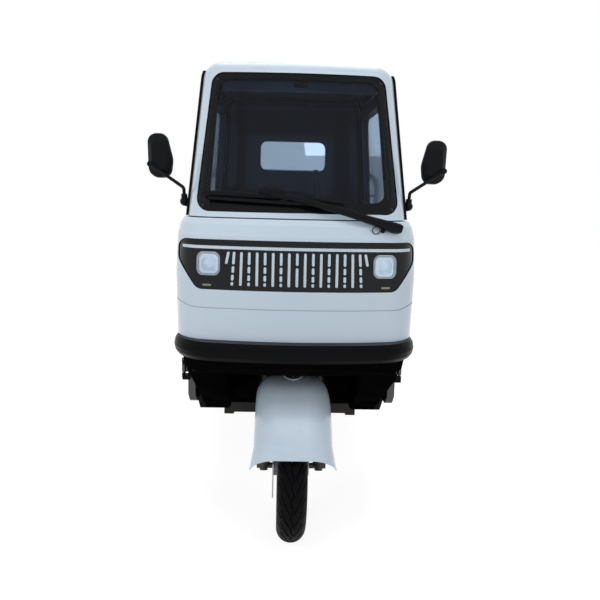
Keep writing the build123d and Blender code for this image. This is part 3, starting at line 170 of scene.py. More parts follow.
def dust_group():
    """Mask of road dust: thick near the ground, thinning upwards, patchy, more on faces that look up."""
    tree, graph, given, result = shader_group(
        "road_dust",
        {"Ground": 0.1, "Clean": 0.9, "Amount": 0.4},
        ["Mask"],
    )
    place = graph.place()
    height = graph.node("ShaderNodeSeparateXYZ", {"Vector": place}).outputs[2]
    low = graph.ramp(height, given.outputs[1], given.outputs[0])
    facing = graph.node(
        "ShaderNodeSeparateXYZ", {"Vector": graph.node("ShaderNodeTexCoord").outputs["Normal"]}
    ).outputs[2]
    shelf = graph.math("MULTIPLY", graph.ramp(facing, 0.2, 1.0), 0.35)
    patch = graph.node(
        "ShaderNodeTexNoise", {"Vector": place, "Scale": 9.0, "Detail": 8.0, "Roughness": 0.7}
    )
    patchy = graph.ramp(patch.outputs[0], 0.35, 0.72)
    total = graph.math("MULTIPLY", graph.math("ADD", low, shelf), patchy)
    graph.feed(result.inputs[0], graph.math("MULTIPLY", total, given.outputs[2], clamp=True))
    return tree


def inner_face_group():
    """Mask that is 1 on faces that look in towards the driver's space and 0 on the outside, where painted
    shade darkens the inside of the cab.
    """
    tree, graph, given, result = shader_group(
        "inner_face", {"Middle Y": -0.72, "Middle Z": 1.0}, ["Mask"]
    )
    coords = graph.node("ShaderNodeTexCoord")
    middle = graph.node("ShaderNodeCombineXYZ")
    graph.feed(middle.inputs[1], given.outputs[0])
    graph.feed(middle.inputs[2], given.outputs[1])
    away = graph.node("ShaderNodeVectorMath", operation="SUBTRACT")
    graph.feed(away.inputs[0], coords.outputs["Object"])
    graph.feed(away.inputs[1], middle.outputs[0])
    product = graph.node("ShaderNodeVectorMath", operation="DOT_PRODUCT")
    graph.feed(product.inputs[0], away.outputs[0])
    graph.feed(product.inputs[1], coords.outputs["Normal"])
    graph.feed(result.inputs[0], graph.ramp(product.outputs["Value"], 0.02, -0.02))
    return tree


GRAIN = grain_group()
EDGES = edge_group()
DUST = dust_group()
INNER_FACES = inner_face_group()
DUST_TONE = tone(150, 141, 126)


RELIEF_DEPTH = 0.0004
BAND_BLUR = 0.0004


def new_material(name):
    """A material with its graph and its Principled shader."""
    material = bpy.data.materials.new(name)
    material.use_nodes = True
    return material, Graph(material.node_tree), material.node_tree.nodes["Principled BSDF"]


def finish(
    name,
    colour,
    second,
    rough=0.5,
    rough_cloud=0.08,
    metallic=0.0,
    coat=0.0,
    cloud=4.0,
    grain=400.0,
    relief=0.05,
    wear=None,
    dust=0.0,
    dust_top=0.9,
    inside_shade=None,
    band=None,
    **sockets,
):
    """A rigid finish in two cloudy tones. wear = (tone, edge width, amount, metallic);
    inside_shade = tone of painted shade laid on the faces inside the cab; band = (height, tone) of what
    lies below that height."""
    material, graph, shader = new_material(name)
    skin = graph.node("ShaderNodeGroup", {"Cloud Scale": cloud, "Grain Scale": grain}, node_tree=GRAIN)
    shade = graph.mix(skin.outputs["Cloud"], colour, second)
    surface = graph.blend(skin.outputs["Cloud"], rough - rough_cloud, rough + rough_cloud)
    metal = metallic
    if band:
        height = graph.node("ShaderNodeSeparateXYZ", {"Vector": graph.place()}).outputs[2]
        below = graph.ramp(height, band[0] + BAND_BLUR, band[0] - BAND_BLUR)
        shade = graph.mix(below, shade, band[1])
    # Painted shade: faces that look into the cab are darkened to the given tone
    if inside_shade:
        inner = graph.node("ShaderNodeGroup", node_tree=INNER_FACES).outputs[0]
        shade = graph.mix(inner, shade, inside_shade)
        surface = graph.blend(inner, surface, 0.75)
    if wear:
        worn_tone, width, amount, worn_metal = wear
        worn = graph.node(
            "ShaderNodeGroup", {"Width": width, "Amount": amount}, node_tree=EDGES
        ).outputs[0]
        shade = graph.mix(worn, shade, worn_tone)
        if worn_metal != metallic:
            metal = graph.blend(worn, metallic, worn_metal)
        surface = graph.blend(worn, surface, 0.55)
    if dust:
        film = graph.node(
            "ShaderNodeGroup", {"Clean": dust_top, "Amount": dust}, node_tree=DUST
        ).outputs[0]
        shade = graph.mix(film, shade, DUST_TONE)
        surface = graph.blend(film, surface, 0.9)
    bump = graph.node(
        "ShaderNodeBump",
        {"Strength": relief, "Distance": RELIEF_DEPTH, "Height": skin.outputs["Height"]},
    )
    graph.feed(shader.inputs["Base Color"], shade)
    graph.feed(shader.inputs["Roughness"], surface)
    graph.feed(shader.inputs["Metallic"], metal)
    graph.feed(shader.inputs["Normal"], bump.outputs[0])
    shader.inputs["Coat Weight"].default_value = coat
    shader.inputs["Coat Roughness"].default_value = 0.04
    for label, value in sockets.items():
        shader.inputs[label.replace("_", " ")].default_value = value
    return material


def clear(name, colour, ior=1.45):
    """Glass or clear plastic with a thin film of dust."""
    material, graph, shader = new_material(name)
    film = graph.node("ShaderNodeGroup", {"Cloud Scale": 7.0}, node_tree=GRAIN).outputs["Cloud"]
    hazy = tuple(c * 0.93 for c in colour[:3]) + (1.0,)
    graph.feed(shader.inputs["Base Color"], graph.mix(film, colour, hazy))
    graph.feed(shader.inputs["Roughness"], graph.blend(film, 0.02, 0.05))
    shader.inputs["Transmission Weight"].default_value = 1.0
    shader.inputs["IOR"].default_value = ior
    return material


BARE_STEEL = tone(150, 150, 148)
PRIMER = tone(120, 124, 128)
# Dark navy of painted shade, laid on the faces inside the cab
CAB_INSIDE_SHADE = tone(12, 27, 50)
WHITE_FOOT_Z = 0.684

# White cab paint; its faces inside the cab carry painted shade in dark navy
white_paint = finish(
    "cab_white_paint", tone(212, 229, 244), tone(207, 225, 241), rough=0.2, rough_cloud=0.04, coat=0.6,
    cloud=2.5, grain=60.0, relief=0.02, wear=(PRIMER, 0.0015, 0.08, 0.0), dust=0.1, dust_top=0.9,
    inside_shade=CAB_INSIDE_SHADE, band=(WHITE_FOOT_Z, tone(10, 10, 12)),
)
guard_paint = finish(
    "mudguard_white", tone(210, 227, 243), tone(203, 221, 239), rough=0.24, rough_cloud=0.05, coat=0.5,
    cloud=5.0, grain=80.0, relief=0.02, dust=0.16, dust_top=0.6,
)
panel_black = finish(
    "lamp_panel_gloss_black", tone(9, 12, 18), tone(13, 16, 23), rough=0.1, coat=0.12, relief=0.01,
    dust=0.03, Specular_IOR_Level=0.2
)
bumper_black = finish(
    "bumper_moulding", tone(7, 8, 10), tone(10, 11, 13), rough=0.3, rough_cloud=0.06, grain=900.0,
    relief=0.08, dust=0.02, dust_top=0.9, Specular_IOR_Level=0.06,
)
apron_black = finish(
    "apron_moulding", tone(9, 9, 10), tone(13, 13, 14), rough=0.55, grain=700.0, relief=0.15, dust=0.06,
    dust_top=0.8, Specular_IOR_Level=0.0,
)
chassis_black = finish(
    "chassis_enamel", tone(9, 9, 10), tone(16, 16, 17), rough=0.42, coat=0.15, grain=150.0, relief=0.15,
    wear=(tone(110, 84, 62), 0.003, 0.3, 0.3), dust=0.2, dust_top=0.6, Specular_IOR_Level=0.15,
)
tub_black = finish(
    "floor_pan_coating", tone(5, 5, 6), tone(9, 9, 10), rough=0.75, grain=260.0, relief=0.3, dust=0.06,
    Specular_IOR_Level=0.0
)
fork_black = finish(
    "fork_black", tone(14, 15, 17), tone(22, 23, 25), rough=0.35, metallic=0.3, coat=0.2, relief=0.05,
    wear=(BARE_STEEL, 0.002, 0.22, 1.0), dust=0.2, dust_top=0.6,
)
trim_black = finish(
    "cab_trim_black", tone(9, 14, 22), tone(14, 20, 29), rough=0.6, grain=600.0, relief=0.25
)
handle_black = finish(
    "small_moulding_black", tone(10, 12, 15), tone(14, 16, 19), rough=0.42, grain=800.0, relief=0.1,
    Specular_IOR_Level=0.12
)
rubber = finish(
    "tyre_rubber", tone(20, 20, 22), tone(27, 27, 29), rough=0.5, grain=300.0, relief=0.15, dust=0.04,
    dust_top=0.3,
    Specular_IOR_Level=0.02,
)
rim_silver = finish(
    "rim_silver", tone(178, 182, 186), tone(160, 164, 168), rough=0.35, metallic=0.85, relief=0.04,
    wear=(tone(90, 92, 94), 0.002, 0.2, 0.9), dust=0.3, dust_top=0.5,
)
steel = finish(
    "machined_steel", tone(176, 178, 180), tone(140, 142, 145), rough=0.3, metallic=1.0, relief=0.05,
    grain=900.0
)
caliper_paint = finish(
    "caliper_casting", tone(150, 154, 158), tone(128, 132, 136), rough=0.4, metallic=0.7, relief=0.2,
    dust=0.2
)
bed_paint = finish(
    "bed_white_enamel", tone(212, 223, 232), tone(202, 214, 224), rough=0.34, coat=0.3, cloud=6.0,
    grain=90.0,
    relief=0.05, wear=(tone(128, 104, 84), 0.003, 0.34, 0.2), dust=0.35, dust_top=0.95,
)
floor_plate = finish(
    "bed_chequer_plate", tone(196, 206, 214), tone(170, 178, 184), rough=0.4, cloud=5.0, grain=90.0,
    relief=0.08,
    wear=(tone(140, 136, 130), 0.002, 0.5, 0.6), dust=0.4, dust_top=0.95,
)
spring_steel = finish(
    "spring_steel", tone(34, 33, 33), tone(62, 52, 45), rough=0.6, metallic=0.6, relief=0.3, dust=0.4
)
bar_white = finish(
    "light_bar_white", tone(204, 218, 230), tone(196, 210, 222), rough=0.3, relief=0.03,
    Emission_Color=tone(150, 165, 180), Emission_Strength=0.12,
)
# Reflector bowl of the headlamps; its slight glow is a painted reflection, not lamp light
lamp_bowl_painted_glow = finish(
    "lamp_bowl_silver_painted_glow", tone(226, 233, 240), tone(204, 213, 222), rough=0.22, metallic=0.6,
    relief=0.02, Emission_Color=tone(200, 218, 232), Emission_Strength=0.22,
)
lamp_rim = finish(
    "lamp_rim_grey", tone(150, 162, 174), tone(134, 146, 158), rough=0.2, metallic=0.6, relief=0.02
)
lamp_housing = finish(
    "lamp_housing_black", tone(18, 19, 21), tone(26, 27, 29), rough=0.4, grain=700.0, relief=0.15
)
red_lens = finish(
    "tail_lens_red", tone(168, 16, 18), tone(134, 10, 12), rough=0.12, coat=0.6, relief=0.25, grain=260.0
)
amber_lens = finish(
    "marker_lens_amber", tone(196, 124, 40), tone(176, 104, 30), rough=0.12, coat=0.6, relief=0.25,
    grain=260.0
)
white_lens = finish(
    "reverse_lens_white", tone(214, 218, 220), tone(196, 200, 204), rough=0.12, coat=0.6, relief=0.25,
    grain=260.0
)
plate_blank = finish(
    "plate_blank", tone(224, 226, 222), tone(214, 216, 212), rough=0.45, relief=0.02, dust=0.15
)
# Grey painted shade for the notch of the mudguard
notch_shade_grey = finish("notch_painted_shade_grey", tone(96, 106, 114), tone(84, 94, 102), rough=0.6, relief=0.2)
# Pale yellow patch on the lamp panel: a painted glint, no lens or lamp
painted_glint_yellow = finish(
    "panel_glint_yellow", tone(150, 154, 112), tone(128, 132, 96), rough=0.25, relief=0.1
)
glaze_black = finish(
    "screen_border_black", tone(6, 8, 11), tone(9, 11, 14), rough=0.2, Specular_IOR_Level=0.15, relief=0.0
)
header_grey = finish(
    "header_lining", tone(38, 46, 58), tone(30, 38, 50), rough=0.8, grain=500.0, relief=0.3
)
mirror_glass = finish(
    "mirror_silvering", tone(205, 210, 214), tone(200, 205, 210), rough=0.02, rough_cloud=0.01,
    metallic=1.0, relief=0.0
)
seal_rubber = finish("window_seal", tone(16, 16, 17), tone(22, 22, 23), rough=0.7, relief=0.1)
mat_rubber = finish(
    "floor_mat_rubber", tone(30, 31, 33), tone(40, 40, 41), rough=0.8, grain=500.0, relief=0.3, dust=0.3
)
screen_dark = finish("display_glass", tone(10, 12, 15), tone(14, 16, 20), rough=0.1, coat=0.6, relief=0.0)
seat_black = finish("seat_vinyl", tone(28, 29, 31), tone(38, 39, 41), rough=0.5, grain=500.0, relief=0.5)
seam_black = finish(
    "seat_piping", tone(16, 17, 18), tone(24, 24, 26), rough=0.55, grain=700.0, relief=0.3
)
battery_grey = finish("battery_case", tone(70, 74, 78), tone(60, 63, 68), rough=0.55)
zinc = finish(
    "zinc_fastener", tone(176, 178, 176), tone(140, 140, 136), rough=0.38, metallic=0.9, relief=0.05,
    dust=0.15
)
black_fastener = finish(
    "black_fastener", tone(18, 18, 20), tone(26, 26, 28), rough=0.4, metallic=0.4, relief=0.05
)
screen_glass = clear("windscreen_glass", tone(178, 198, 222), ior=1.2)
door_glass = clear("door_glass", tone(200, 206, 210), ior=1.3)
lens_clear = clear("lamp_lens", tone(236, 242, 246))

FINISHES = {
    white_paint: ["front_fascia", "windscreen_surround", "roof", "rear_wall", "door_left", "door_right"],
    guard_paint: ["mudguard_front"],
    panel_black: ["grille_panel"],
    bumper_black: ["bumper", "side_frames"],
    apron_black: ["front_apron"],
    chassis_black: ["frame", "spring_hangers", "rear_axle", "mudguards_rear"],
    tub_black: ["cab_tub"],
    fork_black: ["fork", "handlebar"],
    trim_black: ["dashboard", "seat_base"],
    handle_black: ["mirrors", "wiper", "brake_pedal"],
    caliper_paint: ["brake_caliper"],
    rim_silver: ["rim_front", "rim_rear_left", "rim_rear_right"],
    steel: ["brake_disc"],
    bed_paint: ["bed_floor", "headboard", "side_board_left", "side_board_right", "tailgate"],
    spring_steel: ["leaf_springs"],
    bar_white: ["light_bars"],
    lamp_bowl_painted_glow: ["headlamps"],
    lamp_housing: ["tail_lamps"],
    battery_grey: ["battery_box"],
    screen_glass: ["windscreen"],
    door_glass: ["door_glass_left", "door_glass_right", "rear_window"],
    lens_clear: ["headlamp_lenses"],
}
for material, names in FINISHES.items():
    for name in names:
        for slot in NODES[name].material_slots:
            slot.material = material


# Making pieces

WHEELBASE = 1.96
FRONT_AXLE_Y = -1.18683
REAR_AXLE_Y = FRONT_AXLE_Y + WHEELBASE


def behind(offset):
    """Y of a place given in metres behind the front axle."""
    return FRONT_AXLE_Y + offset


def placed(name, data):
    """A new object in the scene."""
    item = bpy.data.objects.new(name, data)
    bpy.context.collection.objects.link(item)
    return item


def piece(name, mesh, material, body, smooth=False):
    """Puts a finished mesh in the scene as a piece that rides on a body."""
    shape = bmesh.new()
    shape.from_mesh(mesh)
    bmesh.ops.remove_doubles(shape, verts=shape.verts, dist=1e-6)
    bmesh.ops.recalc_face_normals(shape, faces=shape.faces)
    shape.to_mesh(mesh)
    shape.free()
    if material:
        mesh.materials.clear()
        mesh.materials.append(material)
    for face in mesh.polygons:
        face.use_smooth = smooth
    item = placed(name, mesh)
    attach(item, body)
    return item


def baked(item):
    """Plain mesh of an object with its modifiers applied."""
    bpy.context.view_layer.update()
    evaluated = item.evaluated_get(bpy.context.evaluated_depsgraph_get())
    mesh = bpy.data.meshes.new_from_object(evaluated)
    mesh.name = item.name
    bpy.data.objects.remove(item)
    return mesh


def raw(name, points, faces):
    mesh = bpy.data.meshes.new(name)
    mesh.from_pydata([tuple(point) for point in points], [], faces)
    mesh.update()
    return mesh


def solid(name, points, faces, material, body, smooth=False):
    return piece(name, raw(name, points, faces), material, body, smooth)


def stack_faces(rows, count):
    """Faces of rings of points one above the other, with a cap at each end."""
    faces = [tuple(reversed(range(count))), tuple(range((rows - 1) * count, rows * count))]
    for row in range(rows - 1):
        for place in range(count):
            step = (place + 1) % count
            low, high = row * count, (row + 1) * count
            faces.append((low + place, low + step, high + step, high + place))
    return faces


def with_modifier(mesh, kind, **settings):
    item = placed(mesh.name, mesh)
    modifier = item.modifiers.new(kind, kind)
    for key, value in settings.items():
        setattr(modifier, key, value)
    return baked(item)


def rounded_loop(points, radius, steps=6):
    """Corner points of a flat (a, b) outline replaced by arcs; radius may be one value or one a corner."""
    radii = radius if isinstance(radius, (list, tuple)) else [radius] * len(points)
    loop = []
    for place, corner in enumerate(points):
        before, after = Vector(points[place - 1]), Vector(points[(place + 1) % len(points)])
        corner = Vector(corner)
        into, out = (before - corner).normalized(), (after - corner).normalized()
        half = into.angle(out) / 2
        reach = radii[place] / math.tan(half)
        centre = corner + (into + out).normalized() * radii[place] / math.sin(half)
        first, last = corner + into * reach - centre, corner + out * reach - centre
        turn = first.angle_signed(last)
        for step in range(steps + 1):
            loop.append(centre + Matrix.Rotation(-turn * step / steps, 2) @ first)
    return loop


def resampled(loop, count):
    """A closed flat loop as evenly spaced points."""
    ring = loop + [loop[0]]
    lengths = [(b - a).length for a, b in zip(ring, ring[1:])]
    total, out, place, walked = sum(lengths), [], 0, 0.0
    for index in range(count):
        want = total * index / count
        while walked + lengths[place] < want:
            walked += lengths[place]
            place += 1
        out.append(ring[place].lerp(ring[place + 1], (want - walked) / lengths[place]))
    return out


def surface_of(mesh):
    """Search tree of a mesh's surface."""
    return BVHTree.FromPolygons(
        [v.co.copy() for v in mesh.vertices], [tuple(p.vertices) for p in mesh.polygons]
    )


def tube(name, points, radius, material, body, closed=False):
    """Round tube through points."""
    curve = bpy.data.curves.new(name, "CURVE")
    curve.dimensions = "3D"
    line = curve.splines.new("POLY")
    line.points.add(len(points) - 1)
    for spot, point in zip(line.points, points):
        spot.co = (*point, 1.0)
    line.use_cyclic_u = closed
    curve.bevel_depth = radius
    curve.bevel_resolution = 2
    curve.use_fill_caps = not closed
    return piece(name, baked(placed(name, curve)), material, body, smooth=True)


# Repeated fittings by geometry nodes


class Tree(Graph):
    """A geometry node tree with named sizes."""

    def __init__(self, name, sizes):
        super().__init__(bpy.data.node_groups.new(name, "GeometryNodeTree"))
        sockets = self.tree.interface
        sockets.new_socket("Geometry", in_out="INPUT", socket_type="NodeSocketGeometry")
        for label, value in sizes.items():
            sockets.new_socket(label, in_out="INPUT", socket_type=NUMBER).default_value = value
        sockets.new_socket("Material", in_out="INPUT", socket_type="NodeSocketMaterial")
        sockets.new_socket("Geometry", in_out="OUTPUT", socket_type="NodeSocketGeometry")
        self.given = self.node("NodeGroupInput")
        self.result = self.node("NodeGroupOutput")

    def join(self, *parts):
        item = self.node("GeometryNodeJoinGeometry")
        for part in parts:
            self.tree.links.new(part, item.inputs[0])
        return item.outputs[0]

    def vector(self, x=0.0, y=0.0, z=0.0):
        return self.node("ShaderNodeCombineXYZ", {"X": x, "Y": y, "Z": z}).outputs[0]

    def moved(self, part, shift=(0, 0, 0), size=(1, 1, 1)):
        sockets = {"Geometry": part, "Translation": shift, "Scale": size}
        return self.node("GeometryNodeTransform", sockets).outputs[0]

    def cylinder(self, sides, radius, depth, lift):
        item = self.node(
            "GeometryNodeMeshCylinder", {"Vertices": sides, "Radius": radius, "Depth": depth}
        )
        return self.moved(item.outputs["Mesh"], self.vector(z=lift))

    def cone(self, sides, low_radius, high_radius, depth, lift):
        sockets = {
            "Vertices": sides, "Radius Top": high_radius, "Radius Bottom": low_radius, "Depth": depth
        }
        item = self.node("GeometryNodeMeshCone", sockets)
        return self.moved(item.outputs["Mesh"], self.vector(z=lift))

    def scatter(self, part):
        """Copies of a part on the points, its Z along their aim and its X along their lay."""
        named = "GeometryNodeInputNamedAttribute"
        aim = self.node(named, {"Name": "aim"}, data_type="FLOAT_VECTOR").outputs[0]
        lay = self.node(named, {"Name": "lay"}, data_type="FLOAT_VECTOR").outputs[0]
        align = "FunctionNodeAlignRotationToVector"
        upright = self.node(align, {"Vector": aim}, axis="Z").outputs[0]
        turned = self.node(
            align, {"Rotation": upright, "Vector": lay}, axis="X", pivot_axis="Z"
        ).outputs[0]
        sockets = {"Points": self.given.outputs["Geometry"], "Instance": part, "Rotation": turned}
        copies = self.node("GeometryNodeInstanceOnPoints", sockets)
        return self.node("GeometryNodeRealizeInstances", {0: copies.outputs[0]}).outputs[0]

    def finish(self, part):
        sockets = {"Geometry": part, "Material": self.given.outputs["Material"]}
        paint = self.node("GeometryNodeSetMaterial", sockets)
        self.feed(self.result.inputs[0], paint.outputs[0])
        return self.tree


def bolt_tree():
    """Hexagon head with a washer face and a chamfered top."""
    tree = Tree("hex_bolts", {"Head Radius": 0.008, "Head Height": 0.006})
    radius, height = tree.given.outputs["Head Radius"], tree.given.outputs["Head Height"]
    washer = tree.cylinder(16, tree.times(radius, 1.35), tree.times(height, 0.2), tree.times(height, 0.1))
    body = tree.cylinder(6, radius, tree.times(height, 0.7), tree.times(height, 0.55))
    low_radius, high_radius = tree.times(radius, 0.93), tree.times(radius, 0.78)
    top = tree.cone(12, low_radius, high_radius, tree.times(height, 0.1), tree.times(height, 0.9))
    return tree.finish(tree.scatter(tree.join(washer, body, top)))


def dome_tree():
    """Round domed head, as on rivets and trim screws."""
    tree = Tree("domed_heads", {"Head Radius": 0.005, "Head Height": 0.002})
    radius, height = tree.given.outputs["Head Radius"], tree.given.outputs["Head Height"]
    ball = tree.node("GeometryNodeMeshUVSphere", {"Segments": 12, "Rings": 6, "Radius": 1.0})
    size = tree.vector(radius, radius, height)
    return tree.finish(tree.scatter(tree.moved(ball.outputs["Mesh"], size=size)))


def hook_tree():
    """Rope hook: a short bar bent down and outwards, with its foot plate."""
    tree = Tree("rope_hooks", {"Rod Radius": 0.004, "Reach": 0.03})
    reach = tree.given.outputs["Reach"]
    sockets = {
        "Resolution": 10,
        "Start": (0.018, 0, 0),
        "Start Handle": tree.vector(x=0.012, z=reach),
        "End Handle": tree.vector(x=-0.03, z=reach),
        "End": (-0.022, 0, 0.012),
    }
    line = tree.node("GeometryNodeCurvePrimitiveBezierSegment", sockets)
    sockets = {"Resolution": 8, "Radius": tree.given.outputs["Rod Radius"]}
    ring = tree.node("GeometryNodeCurvePrimitiveCircle", sockets)
    sockets = {"Fill Caps": True, "Curve": line.outputs[0], "Profile Curve": ring.outputs[0]}
    rod = tree.node("GeometryNodeCurveToMesh", sockets)
    plate = tree.node("GeometryNodeMeshCube", {"Size": (0.02, 0.026, 0.003)})
    foot = tree.moved(plate.outputs["Mesh"], (0.018, 0, 0.0015))
    return tree.finish(tree.scatter(tree.join(rod.outputs[0], foot)))


def stud_tree():
    """Raised slanted studs of a chequered floor plate."""
    tree = Tree("chequer_studs", {"Length": 0.02, "Width": 0.006, "Height": 0.001})
    sockets = {"Vertices": 6, "Radius Top": 0.55, "Radius Bottom": 1.0, "Depth": 1.0}
    base = tree.node("GeometryNodeMeshCone", sockets)
    length, width, height = (tree.given.outputs[label] for label in ("Length", "Width", "Height"))
    size = tree.vector(tree.times(length, 0.5), tree.times(width, 0.5), height)
    return tree.finish(tree.scatter(tree.moved(base.outputs["Mesh"], size=size)))


BOLTS, DOMES, HOOKS, STUDS = bolt_tree(), dome_tree(), hook_tree(), stud_tree()


def repeated(name, tree, places, material, body, smooth=False, **sizes):
    """Copies of a fitting at places, each a (point, aim, lay) row."""
    mesh = raw(name, [place[0] for place in places], [])
    for label, column in (("aim", 1), ("lay", 2)):
        store = mesh.attributes.new(label, "FLOAT_VECTOR", "POINT")
        for row, place in zip(store.data, places):
            row.vector = place[column]
    item = placed(name, mesh)
    modifier = item.modifiers.new("fittings", "NODES")
    modifier.node_group = tree
    given = [socket for socket in tree.interface.items_tree if socket.in_out == "INPUT"]
    sockets = {socket.name: socket.identifier for socket in given}
    modifier[sockets["Material"]] = material
    for label, value in sizes.items():
        modifier[sockets[label.replace("_", " ")]] = value
    return piece(name, baked(item), None, body, smooth=smooth)


# Tyres

RIM_SEAT = 0.1524
FRONT_RADIUS, FRONT_HALF_WIDTH = 0.254, 0.0495
REAR_RADIUS, REAR_HALF_WIDTH = 0.262, 0.054
REAR_WHEEL_X = 0.41


def rib_groove(distance, half_width, soft=0.0007):
    """1 in a groove and 0 outside it, from the distance to its middle line."""
    edge = np.clip((half_width + soft - np.abs(distance)) / (2 * soft), 0, 1)
    return edge * edge * (3 - 2 * edge)


def fade(value, start, width):
    """0 up to start, then rising to 1 over width."""
    return np.clip((value - start) / width, 0, 1)


def nearest(along, pitch):
    """Signed distance to the nearest of marks one pitch apart."""
    return (along + pitch / 2) % pitch - pitch / 2


def slanted(along, reach, start, degrees, pitch):
    """Distance to the nearest of slanting lines that leave the middle at start."""
    slope = math.radians(degrees)
    return nearest(along - (reach - start) / math.tan(slope), pitch) * math.sin(slope)


def front_tread(across, along, pitch):
    """Groove depth share of the front tyre: a wavy middle groove and slanting ones that meet it."""
    wave = rib_groove(across - 0.0035 * np.sin(2 * np.pi * along / pitch), 0.0019)
    reach = np.abs(across)
    slant = rib_groove(slanted(along, reach, 0.007, 25, pitch), 0.0019)
    slant *= fade(reach, 0.006, 0.002) * fade(-reach, -0.038, 0.003)
    shoulder = rib_groove(slanted(along + pitch / 2, reach, 0.03, 48, pitch), 0.0018)
    shoulder *= fade(reach, 0.032, 0.002) * fade(-reach, -0.062, 0.006)
    return np.maximum(np.maximum(wave, slant), shoulder)


def rear_tread(across, along, pitch):
    """Groove depth share of a rear tyre: two zigzag grooves round it and cross cuts at the shoulders."""
    reach = np.abs(across)
    zigzag = np.abs((along / pitch) % 1 * 2 - 1) * 0.006
    rings = rib_groove(reach - 0.014 - zigzag, 0.0018)
    lean = along + reach * 0.35
    cuts = rib_groove(
        nearest(lean, pitch), 0.0022
    ) * fade(reach, 0.03, 0.004) * fade(-reach, -0.066, 0.006)
    sipes = 0.5 * rib_groove(lean % pitch - pitch / 2, 0.0007)
    sipes *= fade(-reach, -0.026, 0.004) * fade(reach, 0.004, 0.003)
    return np.maximum(np.maximum(rings, cuts), sipes)


TYRE_WALL = 0.014
BEAD = [
    (-0.034, 0.1527), (-0.035, 0.1677), (-0.0385, 0.1705), (-0.0415, 0.1745), (-0.043, 0.1785),
]


def tyre(node, x, centre_y, radius, half, body, tread, columns, step, pitches, depth):
    """A moulded tyre with the outline of its CAD solid and real tread grooves."""
    bulge = RIM_SEAT + (radius - RIM_SEAT) * 0.5
    turns = np.radians(np.arange(step, 180, step))
    hub = radius - half
    side = [*BEAD, (-half, bulge - 0.01), (-half, hub)]
    crown = [(-half * math.cos(turn), hub + half * math.sin(turn)) for turn in turns]
    thin = half - TYRE_WALL
    inner = [(thin, hub), (thin - 0.001, bulge - 0.008), (0.022, 0.1547), (0.024, 0.1527)]
    arch = np.radians((30, 60, 90, 120, 150))
    inside = [(thin * math.cos(turn), hub + thin * math.sin(turn)) for turn in arch]
    line = side + crown + [(-a, r) for a, r in reversed(side)]
    line += [(a, r) for a, r in reversed(inner)] + inside + [(-a, r) for a, r in inner]
    line = np.array(line)
    first, last = len(side), len(side) + len(crown)
    theta = np.arange(columns) * 2 * np.pi / columns
    grid = np.repeat(line[:, None, :], columns, axis=1)
    bend = turns[:, None] - np.pi / 2
    across, along = half * bend + 0 * theta[None], radius * theta[None] + 0 * bend
    cut = depth * tread(across, along, 2 * np.pi * radius / pitches)
    grid[first:last, :, 0] += cut * np.cos(turns)[:, None]
    grid[first:last, :, 1] -= cut * np.sin(turns)[:, None]
    points = np.empty((len(line), columns, 3))
    points[..., 0] = x + grid[..., 0]
    points[..., 1] = centre_y - grid[..., 1] * np.cos(theta)
    points[..., 2] = radius + grid[..., 1] * np.sin(theta)
    index = np.arange(len(line) * columns).reshape(len(line), columns)
    right, down = np.roll(index, -1, axis=1), np.roll(index, -1, axis=0)
    faces = np.stack([index, right, np.roll(right, -1, axis=0), down], axis=-1).reshape(-1, 4)
    points = points.reshape(-1, 3).tolist()
    item = solid(node + "_treaded", points, faces.tolist(), rubber, body, smooth=True)
    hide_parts(node)


SIDES = ((1, "left"), (-1, "right"))
tyre(
    "tyre_front", 0.0, FRONT_AXLE_Y, FRONT_RADIUS, FRONT_HALF_WIDTH, "front_wheel", front_tread,
    720, 2, 29, 0.0055,
)
for side, label in SIDES:
    tyre(
        f"tyre_rear_{label}", side * REAR_WHEEL_X, REAR_AXLE_Y, REAR_RADIUS, REAR_HALF_WIDTH,
        f"rear_{label}_wheel", rear_tread, 560, 2.5, 34, 0.005,
    )


# Windscreen border, header and bolts

SCREEN = surface_of(NODES["windscreen"].data)


def from_front(tree, x, z, lift=0.0):
    """Point of a surface seen from straight ahead, lifted off it by lift."""
    spot, normal, _, _ = tree.ray_cast(Vector((x, -3.0, z)), Vector((0, 1, 0)))
    if spot is None:
        spot, normal, _, _ = tree.find_nearest(Vector((x, -1.2, z)))
    if normal.y > 0:
        normal = -normal
    return spot + normal * lift, normal


def ring_sheet(name, outer, inner, tree, lift, thick, material, body, rows=2, count=160):
    """Thin sheet between two flat (x, z) loops, laid on a surface."""
    outer, inner = resampled(outer, count), resampled(inner, count)
    points, faces = [], []
    for height in (lift, lift - thick):
        for row in range(rows + 1):
            for a, b in zip(outer, inner):
                spot = a.lerp(b, row / rows)
                points.append(from_front(tree, spot.x, spot.y, height)[0])
    layer = (rows + 1) * count
    for row in range(rows):
        for place in range(count):
            step = (place + 1) % count
            low, high = row * count, (row + 1) * count
            under = (low + place, high + place, high + step, low + step)
            faces.append((low + place, low + step, high + step, high + place))
            faces.append(tuple(layer + corner for corner in under))
    for place in range(count):
        step = (place + 1) % count
        faces.append((place, layer + place, layer + step, step))
        edge = rows * count
        faces.append((edge + place, edge + step, layer + edge + step, layer + edge + place))
    return solid(name, points, faces, material, body)


def aligned(loop):
    """A loop turned so that it starts at its lowest, leftmost corner, for matching two loops."""
    start = min(range(len(loop)), key=lambda place: loop[place].x + loop[place].y)
    return loop[start:] + loop[:start]


frit_outer = aligned(
    rounded_loop([(-0.3205, 1.1352), (0.3205, 1.1352), (0.2828, 1.5780), (-0.2828, 1.5780)], 0.041)
)
frit_inner = aligned(
    rounded_loop([(-0.2760, 1.1690), (0.2760, 1.1690), (0.2590, 1.5560), (-0.2590, 1.5560)], 0.034)
)
ring_sheet("windscreen_border", frit_outer, frit_inner, SCREEN, 0.0004, 0.0003, glaze_black, "chassis")


